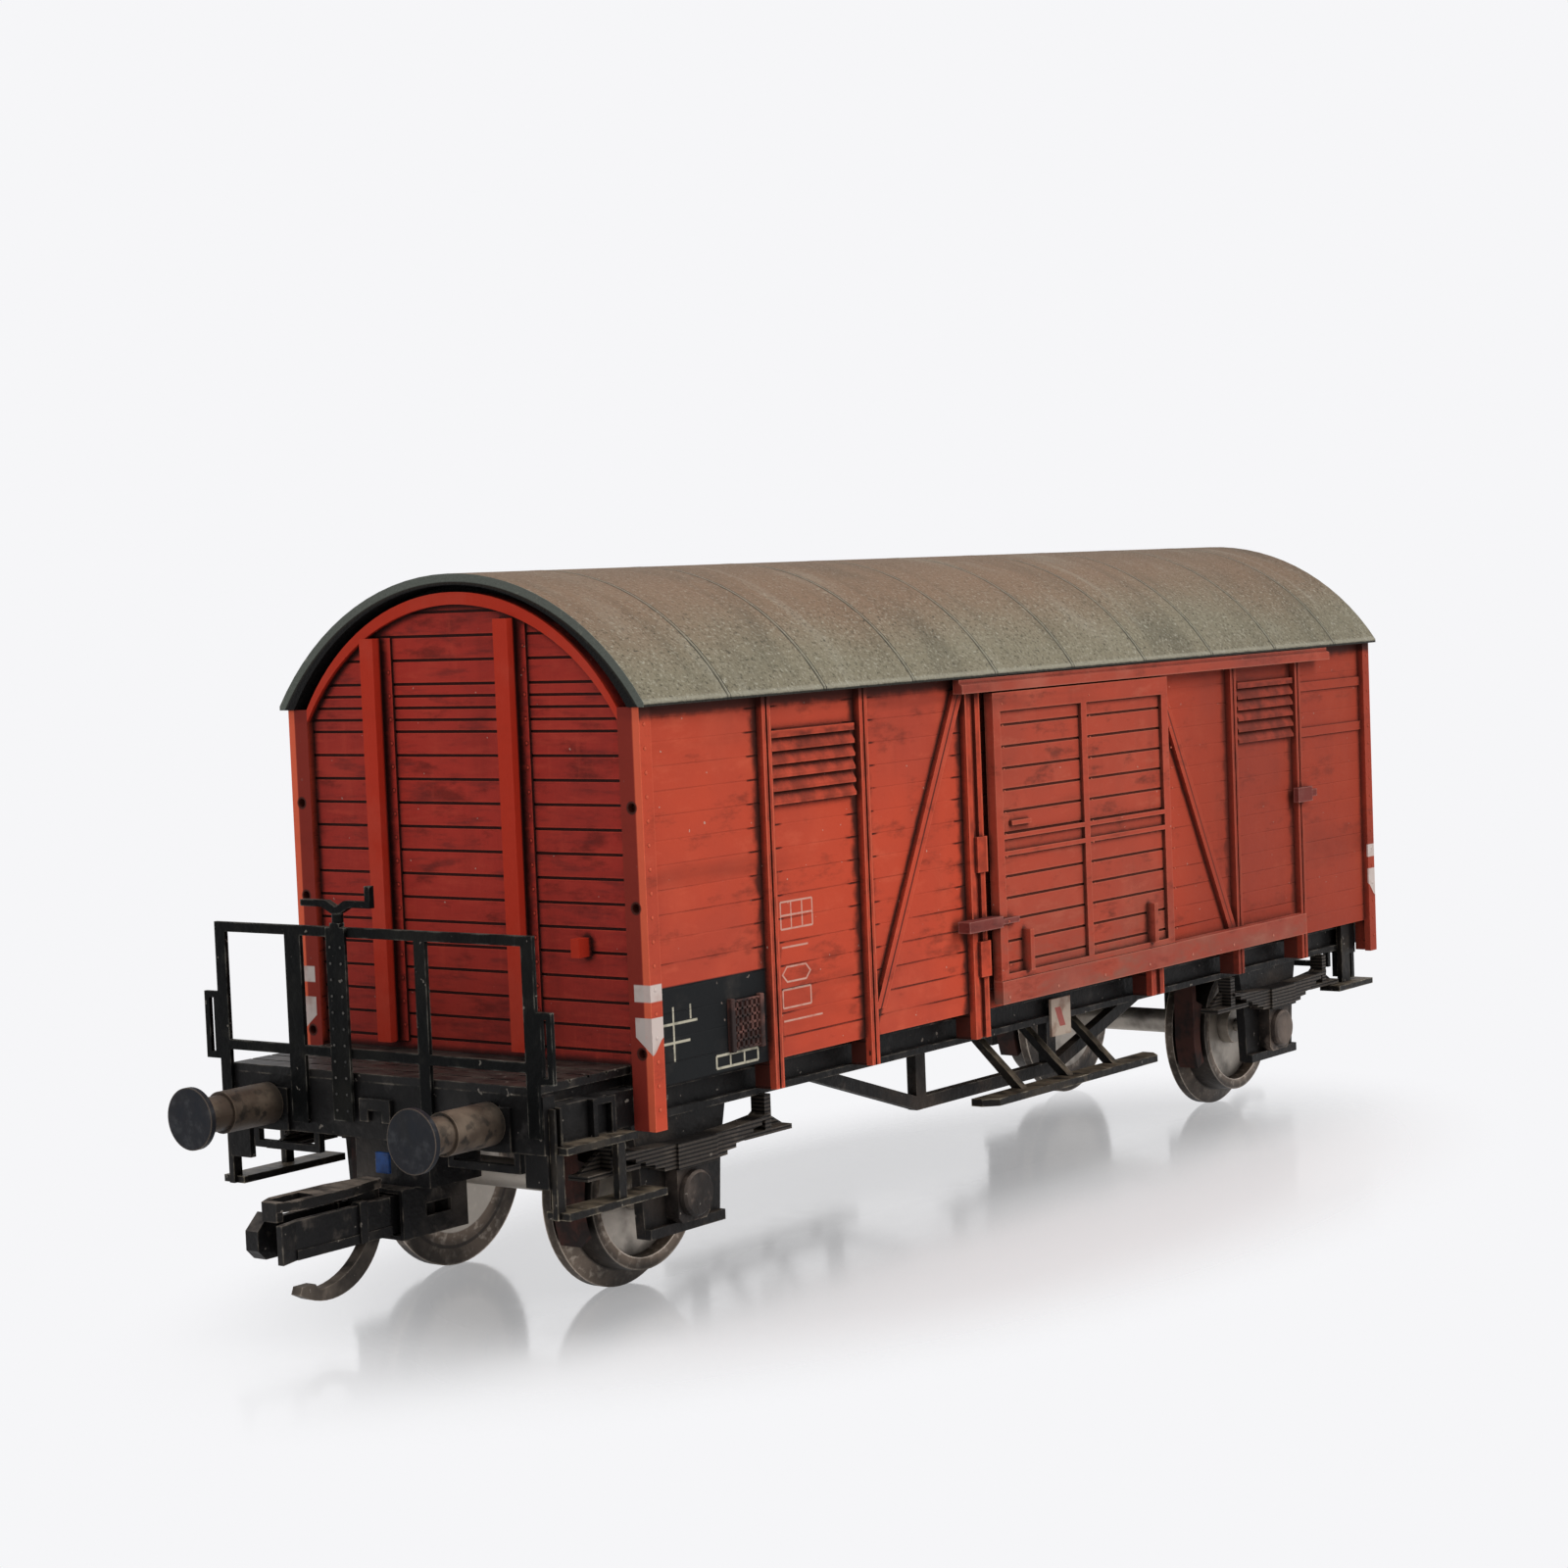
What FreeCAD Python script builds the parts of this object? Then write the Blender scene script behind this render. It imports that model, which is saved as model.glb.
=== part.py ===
import FreeCAD, Part
import os
import re
import Sketcher

# Model railway covered goods wagon, 1:120, two axles, platform end at -X.
# Millimetres. X along the wagon, Y across (+Y is its left), Z up from the wheel flanges.

document = FreeCAD.newDocument("covered_goods_wagon")
sheet = document.addObject("Spreadsheet::Sheet", "dims")

# alias, size
DIMENSIONS = (
    # frame and body
    ("frame_length", 79.4),
    ("platform_depth", 6.6),
    ("body_length", 73.7),
    ("body_width", 23.0),
    ("sill_height", 10.6),
    ("eave_height", 28.5),
    ("board_thickness", 0.7),
    ("post_depth", 0.4),
    ("floor_thickness", 0.6),
    # roof
    ("roof_crown", 35.05),
    ("roof_width", 23.9),
    ("roof_thickness", 0.55),
    ("roof_bearing", 0.8),
    ("roof_tip", 0.2),
    ("roof_overhang", 0.15),
    ("gable_rib_half", 10.3),
    ("gable_rib_base", 27.3),
    ("gable_rib_thickness", 0.5),
    # end walls
    ("end_wall_base", 11.2),
    ("end_wall_spring", 28.1),
    ("end_wall_crown", 34.15),
    ("plank_pitch", 1.167),
    ("groove_width", 0.14),
    ("groove_depth", 0.12),
    ("first_groove", 12.2),
    ("arch_rim", 0.6),
    ("band_groove", 27.95),
    ("peg_place", 7.2),
    ("peg_level", 16.7),
    ("peg_width", 0.5),
    ("peg_height", 0.9),
    ("stanchion_flange", 0.9),
    ("stanchion_web", 0.4),
    ("stanchion_depth", 0.95),
    ("stanchion_foot", 1.7),
    ("left_stanchion", 5.3),
    ("left_stanchion_top", 32.0),
    ("right_stanchion", 3.6),
    ("right_stanchion_top", 32.8),
    ("stanchion_foot_thickness", 0.12),
    ("stanchion_base", 12.0),
    # side wall posts and braces
    ("corner_leg", 0.85),
    ("corner_flange", 1.3),
    ("corner_foot", 8.6),
    ("rail_hole", 0.45),
    ("low_hole", 12.25),
    ("middle_hole", 19.1),
    ("high_hole", 23.8),
    ("post_width", 0.7),
    ("post_foot", 9.2),
    ("door_post_width", 1.4),
    ("door_post_slot", 0.5),
    ("inner_post", 9.15),
    ("brace_foot", 18.3),
    ("brace_head", 10.2),
    ("brace_foot_level", 12.0),
    ("brace_head_level", 27.9),
    ("middle_post", 19.05),
    ("outer_post", 27.15),
    ("foot_plate", 0.4),
    ("brace_width", 0.85),
    ("brace_depth", 0.3),
    # louvred ventilators
    ("louvre_length", 6.9),
    ("louvre_centre", 23.2),
    ("louvre_base", 23.1),
    ("louvre_pitch", 0.66),
    ("louvre_lip", 0.16),
    ("louvre_proud", 0.3),
    ("louvre_cap", 0.35),
    # straps across the last bay, staples on the door post
    ("strap_base", 22.95),
    ("strap_lift", 2.85),
    ("strap_height", 0.55),
    ("strap_proud", 0.12),
    ("staple_height", 1.9),
    ("staple_low", 12.5),
    ("staple_high", 18.1),
    ("staple_proud", 0.2),
    # sliding doors and their rails
    ("door_width", 18.3),
    ("door_left_edge", 8.0),
    ("door_base", 12.1),
    ("door_top", 27.6),
    ("door_panel", 0.35),
    ("door_frame", 0.2),
    ("door_stile", 0.7),
    ("door_centre_half", 0.28),
    ("door_top_band", 1.0),
    ("door_middle_band", 1.15),
    ("door_middle_level", 18.8),
    ("door_band_rim", 0.25),
    ("door_bar_place", 1.5),
    ("door_bar_length", 1.9),
    ("door_bar_level", 20.4),
    ("door_first_groove", 13.0),
    ("grip_inset", 2.4),
    ("grip_width", 0.35),
    ("grip_height", 2.6),
    ("grip_proud", 0.55),
    ("top_rail_base", 27.7),
    ("top_rail_height", 0.75),
    ("top_rail_length", 41.2),
    ("bottom_rail_base", 10.85),
    ("bottom_rail_height", 1.25),
    ("bottom_rail_length", 34.3),
    ("rail_depth", 0.6),
    ("rail_step", 0.2),
    ("top_rail_lead", 2.9),
    ("hasp_reach", 3.2),
    ("hasp_level", 15.05),
    ("hasp_height", 0.6),
    ("hasp_thickness", 0.2),
    ("hasp_nose_length", 1.6),
    ("stop_level", 19.0),
    ("stop_height", 0.9),
    ("stop_length", 1.8),
    ("stop_depth", 0.35),
    # chassis
    ("sole_bar_face", 10.2),
    ("sole_bar_base", 8.85),
    ("sole_bar_flange", 0.35),
    ("sole_bar_web", 0.4),
    ("sole_bar_reach", 0.9),
    ("pan_thickness", 0.6),
    ("sill_gap", 2.4),
    ("rib_thickness", 0.5),
    ("rib_base", 9.2),
    ("cross_rib_pitch", 12.8),
    ("cross_rib_reach", 7.2),
    ("wheel_well_length", 11.4),
    ("wheel_well_inner", 4.7),
    ("wheel_well_outer", 8.1),
    ("beam_depth", 0.8),
    ("beam_width", 20.8),
    ("beam_base", 8.5),
    ("guard_rail_inner", 4.2),
    ("guard_rail_outer", 8.7),
    ("guard_rail_level", 7.5),
    ("guard_rail_bar", 0.35),
    ("end_bracket_base", 6.9),
    ("end_bracket_width", 1.4),
    ("hook_plate_half", 1.0),
    ("hook_plate_base", 9.35),
    ("hook_plate_height", 1.1),
    ("hook_plate_proud", 0.25),
    ("hook_hole_half", 0.45),
    ("sole_clip_place", 3.3),
    ("sole_clip_width", 1.6),
    ("sole_clip_wall", 0.3),
    ("sole_clip_proud", 0.35),
    # buffers
    ("buffer_spacing", 14.4),
    ("buffer_level", 9.8),
    ("buffer_length", 5.3),
    ("buffer_head", 1.5),
    ("buffer_head_edge", 0.3),
    ("buffer_seat", 0.18),
    ("buffer_seat_half", 1.3),
    ("buffer_sleeve", 1.02),
    ("buffer_sleeve_length", 3.3),
    ("buffer_ram", 0.86),
    ("buffer_neck", 0.55),
    # platform
    ("deck_base", 11.2),
    ("deck_thickness", 0.4),
    ("deck_width", 19.6),
    ("deck_bed_width", 18.6),
    ("deck_groove_pitch", 1.3),
    ("railing_top", 18.55),
    ("railing_middle", 12.77),
    ("railing_bar", 0.48),
    ("railing_depth", 0.22),
    ("railing_foot", 9.3),
    ("left_middle_post", 5.0),
    ("left_middle_foot", 9),
    ("right_middle_post", 3.35),
    ("right_middle_foot", 9.9),
    ("railing_half", 10.35),
    ("corner_bar", 0.7),
    ("wide_bar", 1.05),
    ("loop_reach", 0.95),
    ("loop_base", 11.8),
    ("loop_top", 15.1),
    ("loop_bar", 0.32),
    ("brake_column_place", 1.95),
    ("brake_column_width", 1.25),
    ("column_depth", 0.15),
    ("spindle_bracket_height", 0.2),
    ("spindle_radius", 0.28),
    ("crank_level", 19.2),
    ("crank_reach", 2.3),
    ("crank_bar", 0.32),
    ("crank_grip", 1.05),
    ("crank_hub", 0.3),
    ("crank_dish", 0.3),
    # wheelsets
    ("wheelbase", 58.4),
    ("flange_radius", 5.0),
    ("tread_radius", 4.1),
    ("tyre_radius", 3.4),
    ("wheel_back", 5.15),
    ("flange_thickness", 0.55),
    ("wheel_width", 2.25),
    ("web_recess", 0.75),
    ("hub_radius", 1.15),
    ("tread_taper", 0.08),
    ("axle_radius", 0.75),
    ("journal_radius", 0.4),
    ("axle_half", 10.0),
    # running gear
    ("guard_back", 9.15),
    ("guard_thickness", 0.55),
    ("guard_top_half", 3.6),
    ("guard_waist_half", 3.1),
    ("guard_foot_half", 2.85),
    ("guard_base", 3.15),
    ("guard_keep", 0.5),
    ("guard_waist", 6.6),
    ("keep_depth", 0.35),
    ("axlebox_face", 10.84),
    ("axlebox_half", 1.2),
    ("axlebox_height", 2.7),
    ("axlebox_lid", 1.12),
    ("axlebox_lid_depth", 0.4),
    ("axlebox_chamfer", 0.3),
    ("lid_chamfer", 0.12),
    ("bearing_clearance", 0.1),
    ("spring_front", 10.7),
    ("spring_half", 5.9),
    ("spring_top", 7.6),
    ("spring_rise", 0.3),
    ("leaf_thickness", 0.2),
    ("leaf_step", 0.7),
    ("buckle_half", 1.5),
    ("shackle_width", 0.5),
    ("shackle_top_depth", 0.35),
    ("spring_foot_half", 1.9),
    ("spring_foot_width", 1.2),
    ("spring_foot_level", 6.85),
    ("spring_foot_thickness", 0.25),
    ("spring_foot_rise", 0.9),
    # brakes
    ("shoe_gap", 0.25),
    ("shoe_thickness", 0.8),
    ("shoe_width", 1.3),
    ("shoe_half_angle", 24.0),
    ("brake_hanger", 0.45),
    # truss rods
    ("truss_place", 7.8),
    ("truss_thickness", 0.6),
    ("truss_bar", 0.7),
    ("truss_base", 5.3),
    ("truss_half_foot", 21.6),
    ("truss_half_chord", 6.9),
    ("truss_toe", 2.3),
    # steps
    ("footboard_length", 18.1),
    ("footboard_edge", 11.1),
    ("footboard_width", 1.4),
    ("footboard_level", 5.2),
    ("footboard_thickness", 0.4),
    ("footboard_chamfer", 0.7),
    ("footboard_strap_pitch", 4.8),
    ("strap_head", 5.1),
    ("strap_width", 0.55),
    ("strap_thickness", 0.35),
    ("step_edge", 11.3),
    ("step_width", 1.4),
    ("step_thickness", 0.35),
    ("upper_step_length", 5.0),
    ("upper_step_level", 8.5),
    ("lower_step_length", 7.0),
    ("lower_step_level", 5.5),
    ("step_start", 0.5),
    ("step_hanger_front", 0.6),
    ("step_hanger_rear", 4.5),
    ("rear_step_length", 4.6),
    ("rear_step_level", 6.45),
    ("rear_step_overhang", 0.6),
    ("rear_hanger_inset", 1.6),
    # couplers
    ("coupler_tip", 7.8),
    ("coupler_pivot_inset", 1.8),
    ("coupler_base", 4.1),
    ("coupler_height", 1.8),
    ("coupler_half", 0.95),
    ("coupler_wall", 0.35),
    ("jaw_flare", 0.35),
    ("shank_front", 6.6),
    ("nose_front", 7.6),
    ("nose_rear", 5.9),
    ("nose_height", 2.1),
    ("nose_inner", 0.5),
    ("nose_outer", 1.3),
    ("collar_front", 2.6),
    ("collar_length", 0.5),
    ("collar_proud", 0.15),
    ("ledge_height", 0.45),
    ("ledge_proud", 0.07),
    ("tongue_front", 0.45),
    ("tongue_half", 0.8),
    ("trough_depth", 0.9),
    ("pocket_front", 0.1),
    ("pocket_rear", 4.35),
    ("pocket_half", 1.4),
    ("pocket_wall", 0.2),
    ("pocket_clearance", 0.1),
    ("pocket_slot_length", 1.4),
    ("pocket_slot_height", 0.6),
    ("pivot_radius", 0.3),
    ("loop_pin_place", 1.35),
    ("loop_pin_level", 5.2),
    ("loop_pin_radius", 0.2),
    ("tail_slot_front", 2.5),
    ("tail_slot_rear", 0.2),
    ("lug_front", 2.0),
    ("lug_rear", 0.5),
    ("tail_width", 0.6),
    ("tail_root_front", 1.35),
    ("tail_reach", 5.9),
    ("tail_bend_place", 2.5),
    ("tail_bend_outer", 2.0),
    ("tail_bend_inner", 2.93),
    ("knob_rear", 4.65),
    ("knob_rear_level", 2.3),
    ("knob_shoulder", 4.9),
    ("knob_front", 5.75),
    ("knob_top", 2.6),
    ("knob_nose", 2.25),
    ("knob_under", 5.3),
    ("knob_base", 1.95),
    ("loop_level", 6.35),
    ("loop_bar_height", 0.45),
    ("loop_bar_width", 0.4),
    ("loop_half", 0.95),
    ("loop_tip", 7.3),
    ("loop_taper", 0.9),
    ("loop_eye_length", 2.4),
    ("loop_lip_drop", 0.45),
    ("stalk_half", 2.4),
    # ballast
    ("ballast_length", 50.0),
    ("ballast_width", 16.0),
    ("ballast_height", 1.5),
    # small plates
    ("plate_width", 2.0),
    ("plate_height", 2.1),
    ("plate_thickness", 0.15),
    ("plate_inset", 7.4),
    ("plate_drop", 0.5),
)

ALIASES = {alias for alias, _ in DIMENSIONS}
for row, (alias, size) in enumerate(DIMENSIONS, 1):
    sheet.set(f"A{row}", alias)
    sheet.set(f"B{row}", str(size))
    sheet.setAlias(f"B{row}", alias)
document.recompute()

# Places worked out from the driving sizes.
BEAM_FRONT = "(-frame_length / 2)"
BEAM_REAR = "(frame_length / 2)"
WALL_FRONT = "(platform_depth - frame_length / 2)"
WALL_REAR = f"({WALL_FRONT} + body_length)"
BODY_MIDDLE = f"({WALL_FRONT} + body_length / 2)"
BODY_SIDE = "(body_width / 2)"
BOARD_FACE = f"({BODY_SIDE} - post_depth)"
BOARD_BACK = f"({BOARD_FACE} - board_thickness)"
AXLE_LEVEL = "flange_radius"
AXLES = {"front": "(-wheelbase / 2)", "rear": "(wheelbase / 2)"}
FLOOR_TOP = "(sill_height + floor_thickness)"
DOOR_LEFT = f"({BODY_MIDDLE} - door_left_edge)"
DOOR_RIGHT = f"({DOOR_LEFT} + door_width)"
PAN_BASE = "(sill_height - pan_thickness)"
GUARD_FACE = "(guard_back + guard_thickness)"


def bound(expression):
    """Write each alias of an expression as a cell of the sheet."""
    return re.sub(
        r"[a-z_]+",
        lambda word: f"dims.{word[0]}" if word[0] in ALIASES else word[0],
        expression,
    )


def number(expression):
    """Work out an expression."""
    return float(sheet.evalExpression(bound(expression)))


nodes = []


def node(item, label):
    """Name an object as a piece of the wagon."""
    item.Label = label
    nodes.append(item)
    return item


def box(name, across_x, across_y, across_z):
    """Make a box between two expressions along each axis."""
    block = document.addObject("Part::Box", name)
    spans = (("Length", "x", across_x), ("Width", "y", across_y), ("Height", "z", across_z))
    for size, axis, (low, high) in spans:
        block.setExpression(size, bound(f"({high}) - ({low})"))
        block.setExpression(f"Placement.Base.{axis}", bound(low))
    return block


def fused(name, pieces):
    """Join touching pieces into one solid."""
    union = document.addObject("Part::MultiFuse", name)
    union.Shapes = pieces
    union.Refine = True
    return union


def grouped(name, pieces):
    """Keep pieces that stand apart together in one node."""
    group = document.addObject("Part::Compound", name)
    group.Links = pieces
    return group


def cut(name, base, tool):
    """Take one shape out of another."""
    remainder = document.addObject("Part::Cut", name)
    remainder.Base = base
    remainder.Tool = tool
    return remainder


def mirrored(name, source, normal):
    """Mirror a piece through the middle of the frame."""
    copy = document.addObject("Part::Mirroring", name)
    copy.Source = source
    copy.Normal = normal
    return copy


def opposite_hand(name, source):
    """Repeat a piece of the body turned half way round its middle."""
    copy = grouped(name, [source])
    copy.Placement = FreeCAD.Placement(FreeCAD.Vector(), FreeCAD.Rotation(180, 0, 0))
    copy.setExpression("Placement.Base.x", bound(f"2 * {BODY_MIDDLE}"))
    return copy


ACROSS = FreeCAD.Vector(0, 1, 0)
ALONG = FreeCAD.Vector(1, 0, 0)


def new_body(name):
    """Start a PartDesign body."""
    return document.addObject("PartDesign::Body", name)


def origin_feature(body, role):
    """Find a plane or axis of the body's own origin."""
    return next(item for item in body.Origin.OriginFeatures if item.Role == role)


def sketch_on(body, name, plane, shift):
    """Attach an empty sketch to an origin plane, moved by three expressions in the sketch's axes."""
    sketch = body.newObject("Sketcher::SketchObject", name)
    sketch.AttachmentSupport = [(origin_feature(body, plane), "")]
    sketch.MapMode = "FlatFace"
    for axis, distance in zip("xyz", shift):
        sketch.setExpression(f"AttachmentOffset.Base.{axis}", bound(distance))
    return sketch


def pin_point(sketch, geometry, end, place):
    """Hold one point of a sketch at two expressions."""
    for kind, distance in zip(("DistanceX", "DistanceY"), place):
        held = Sketcher.Constraint(kind, -1, 1, geometry, end, number(distance))
        sketch.setExpression(f"Constraints[{sketch.addConstraint(held)}]", bound(distance))


def outline(sketch, corners):
    """Draw a closed outline.

    A corner is (u, v), or (u, v, arc_u, arc_v) where an arc through the second
    point leads to it from the corner before.
    """
    first = sketch.GeometryCount
    places = [FreeCAD.Vector(number(corner[0]), number(corner[1]), 0) for corner in corners]
    ends = []
    for index, corner in enumerate(corners):
        start, finish = places[index - 1], places[index]
        if len(corner) == 4:
            crest = FreeCAD.Vector(number(corner[2]), number(corner[3]), 0)
            sketch.addGeometry(Part.Arc(start, crest, finish), False)
            turns_left = (crest - start).cross(finish - crest).z > 0
            ends.append((1, 2) if turns_left else (2, 1))
        else:
            sketch.addGeometry(Part.LineSegment(start, finish), False)
            ends.append((1, 2))
    count = len(corners)
    for index, corner in enumerate(corners):
        following = (index + 1) % count
        joint = (first + index, ends[index][1], first + following, ends[following][0])
        sketch.addConstraint(Sketcher.Constraint("Coincident", *joint))
        pin_point(sketch, first + index, ends[index][1], corner[:2])
        if len(corner) == 4:
            crest = FreeCAD.Vector(number(corner[2]), number(corner[3]), 0)
            mark = sketch.addGeometry(Part.Point(crest), True)
            sketch.addConstraint(Sketcher.Constraint("PointOnObject", mark, 1, first + index))
            pin_point(sketch, mark, 1, corner[2:])


def circle(sketch, centre, radius):
    """Draw a circle about a centre held by two expressions."""
    spot = FreeCAD.Vector(number(centre[0]), number(centre[1]), 0)
    ring = sketch.addGeometry(Part.Circle(spot, FreeCAD.Vector(0, 0, 1), number(radius)), False)
    pin_point(sketch, ring, 3, centre)
    size = sketch.addConstraint(Sketcher.Constraint("Radius", ring, number(radius)))
    sketch.setExpression(f"Constraints[{size}]", bound(radius))


def level_of(plane, low, high, towards_high):
    """Give a sketch's distance along its plane's normal so that a feature fills low to high."""
    near, far = (low, high) if towards_high else (high, low)
    return f"-({far})" if plane == "XZ_Plane" else near


def padded(body, name, plane, corners, low, high):
    """Pad an outline between two places along the plane's normal."""
    sketch = sketch_on(body, f"{name}_sketch", plane, ("0", "0", level_of(plane, low, high, True)))
    outline(sketch, corners)
    pad = body.newObject("PartDesign::Pad", name)
    pad.Profile = sketch
    pad.setExpression("Length", bound(f"({high}) - ({low})"))
    sketch.Visibility = False
    return pad


def pocket_of(body, name, plane, low, high, draw):
    """Pocket what draw(sketch) outlines, between two places along the plane's normal."""
    sketch = sketch_on(body, f"{name}_sketch", plane, ("0", "0", level_of(plane, low, high, False)))
    draw(sketch)
    pocket = body.newObject("PartDesign::Pocket", name)
    pocket.Profile = sketch
    pocket.setExpression("Length", bound(f"({high}) - ({low})"))
    sketch.Visibility = False
    return pocket


def repeated(body, feature, axis, pitch, count):
    """Repeat a feature at a pitch along an axis of the body."""
    pattern = body.newObject("PartDesign::LinearPattern", f"{feature.Name}_row")
    pattern.Originals = [feature]
    pattern.Direction = (origin_feature(body, axis), [""])
    pattern.Occurrences = count
    pattern.setExpression("Length", bound(f"({pitch}) * {count - 1}"))
    body.Tip = pattern
    return pattern


def plate(name, plane, corners, low, high):
    """Make a body of one padded outline."""
    body = new_body(name)
    padded(body, f"{name}_pad", plane, corners, low, high)
    return body


def turned(name, plane, shift, corners):
    """Revolve a half profile about the sketch's horizontal axis."""
    body = new_body(name)
    sketch = sketch_on(body, f"{name}_profile", plane, shift)
    outline(sketch, corners)
    revolution = body.newObject("PartDesign::Revolution", f"{name}_turning")
    revolution.Profile = sketch
    revolution.ReferenceAxis = (sketch, ["H_Axis"])
    revolution.Angle = 360
    sketch.Visibility = False
    return body


def rectangle(low_u, high_u, low_v, high_v):
    """List the corners of a rectangle."""
    return ((low_u, low_v), (high_u, low_v), (high_u, high_v), (low_u, high_v))


# ---------------------------------------------------------------- roof

def make_roof():
    """A curved sheet on the tops of the side walls, with a rib inside each end wall."""
    half = "(roof_width / 2)"
    inner = f"({half} - roof_tip - roof_bearing)"
    corners = (
        (f"-{half}", "eave_height"),
        (f"-{half}", "eave_height + roof_tip"),
        (half, "eave_height + roof_tip", "0", "roof_crown"),
        (half, "eave_height"),
        (inner, "eave_height"),
        (f"-{inner}", "eave_height", "0", "roof_crown - roof_thickness"),
    )
    ends = (f"{WALL_FRONT} - roof_overhang", f"{WALL_REAR} + roof_overhang")
    rib = (
        ("-gable_rib_half", "gable_rib_base"),
        ("gable_rib_half", "gable_rib_base"),
        ("gable_rib_half", "eave_height"),
        ("-gable_rib_half", "eave_height", "0", "roof_crown - roof_thickness"),
    )
    inset = "(post_depth + board_thickness)"
    pieces = [
        plate("roof_sheet", "YZ_Plane", corners, *ends),
        plate("front_gable_rib", "YZ_Plane", rib, f"{WALL_FRONT} + {inset}",
              f"{WALL_FRONT} + {inset} + gable_rib_thickness"),
        plate("rear_gable_rib", "YZ_Plane", rib, f"{WALL_REAR} - {inset} - gable_rib_thickness",
              f"{WALL_REAR} - {inset}"),
    ]
    node(fused("roof_moulding", pieces), "roof")


# ---------------------------------------------------------------- end walls

HOLE_LEVELS = ("low_hole", "middle_hole", "high_hole")
# across, top
STANCHIONS = (("left_stanchion", "left_stanchion_top"), ("-right_stanchion", "right_stanchion_top"))


def arch(crown, spring, half):
    """Give a wall outline's arc across the top, from +half to -half."""
    return (f"-({half})", spring, "0", crown)


def make_end_walls():
    """Boards between the side walls, with an arch rim, two stanchions and a lamp peg."""
    face = f"({WALL_FRONT} + post_depth)"
    boards = new_body("end_boards")
    corners = (
        (f"-{BOARD_BACK}", "end_wall_base"),
        (BOARD_BACK, "end_wall_base"),
        (BOARD_BACK, "end_wall_spring"),
        arch("end_wall_crown", "end_wall_spring", BOARD_BACK),
    )
    padded(boards, "end_board_pad", "YZ_Plane", corners, face, f"{face} + board_thickness")
    document.recompute()

    def groove_at(level):
        return rectangle(f"-{BOARD_BACK} - 1", f"{BOARD_BACK} + 1",
                         f"{level} - groove_width / 2", f"{level} + groove_width / 2")

    def band_grooves(sketch):
        outline(sketch, groove_at("band_groove"))
        outline(sketch, groove_at("(band_groove + plank_pitch)"))

    groove_span = (f"{face} - post_depth", f"{face} + groove_depth")
    groove = pocket_of(boards, "end_groove", "YZ_Plane", *groove_span,
                       lambda sketch: outline(sketch, groove_at("first_groove")))
    repeated(boards, groove, "Z_Axis", "plank_pitch", 19)
    document.recompute()
    pocket_of(boards, "band_groove_pair", "YZ_Plane", *groove_span, band_grooves)
    rim_half = f"({BODY_SIDE} - corner_flange)"
    rim = (
        (rim_half, "eave_height"),
        arch("end_wall_crown", "eave_height", rim_half),
        (f"-{rim_half}", "eave_height - arch_rim"),
        (rim_half, "eave_height - arch_rim", "0", "end_wall_crown - arch_rim"),
    )
    outside = f"({face} - stanchion_depth)"
    pieces = [
        boards,
        plate("end_rim", "YZ_Plane", rim, WALL_FRONT, f"{face} + board_thickness / 2"),
        box("end_peg", (outside, face), ("-(peg_place + peg_width)", "-peg_place"),
            ("peg_level", "peg_level + peg_height")),
    ]
    shoulder = f"({outside} + post_depth)"
    foot = f"({face} - stanchion_foot_thickness)"
    for index, (place, top) in enumerate(STANCHIONS):
        across = (f"{place} - stanchion_foot / 2", f"{place} + stanchion_foot / 2")
        pieces.append(box(f"end_stanchion_foot_{index}", (foot, face), across,
                          ("stanchion_base", top)))
        section = (
            (outside, f"{place} - stanchion_flange / 2"),
            (shoulder, f"{place} - stanchion_flange / 2"),
            (shoulder, f"{place} - stanchion_web / 2"),
            (face, f"{place} - stanchion_web / 2"),
            (face, f"{place} + stanchion_web / 2"),
            (shoulder, f"{place} + stanchion_web / 2"),
            (shoulder, f"{place} + stanchion_flange / 2"),
            (outside, f"{place} + stanchion_flange / 2"),
        )
        pieces.append(plate(f"end_stanchion_{index}", "XY_Plane", section, "stanchion_base", top))
    platform_end = node(fused("platform_end", pieces), "platform_end_wall")
    node(opposite_hand("rear_end", platform_end), "rear_end_wall")


# ---------------------------------------------------------------- side walls

# name, place from the body's middle, width, slot in the face
POSTS = (
    ("outer_left", "-outer_post", "post_width", "groove_width"),
    ("middle_left", "-middle_post", "post_width", "groove_width"),
    ("door_left", "-inner_post", "door_post_width", "door_post_slot"),
    ("door_right", "inner_post", "door_post_width", "door_post_slot"),
    ("middle_right", "middle_post", "post_width", "groove_width"),
    ("outer_right", "outer_post", "post_width", "groove_width"),
)
# name, foot and head places from the body's middle, foot and head levels
BRACES = (
    ("left", "-brace_foot", "-brace_head", "brace_foot_level", "brace_head_level"),
    ("right", "brace_foot", "brace_head", "brace_foot_level", "brace_head_level"),
)


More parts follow.
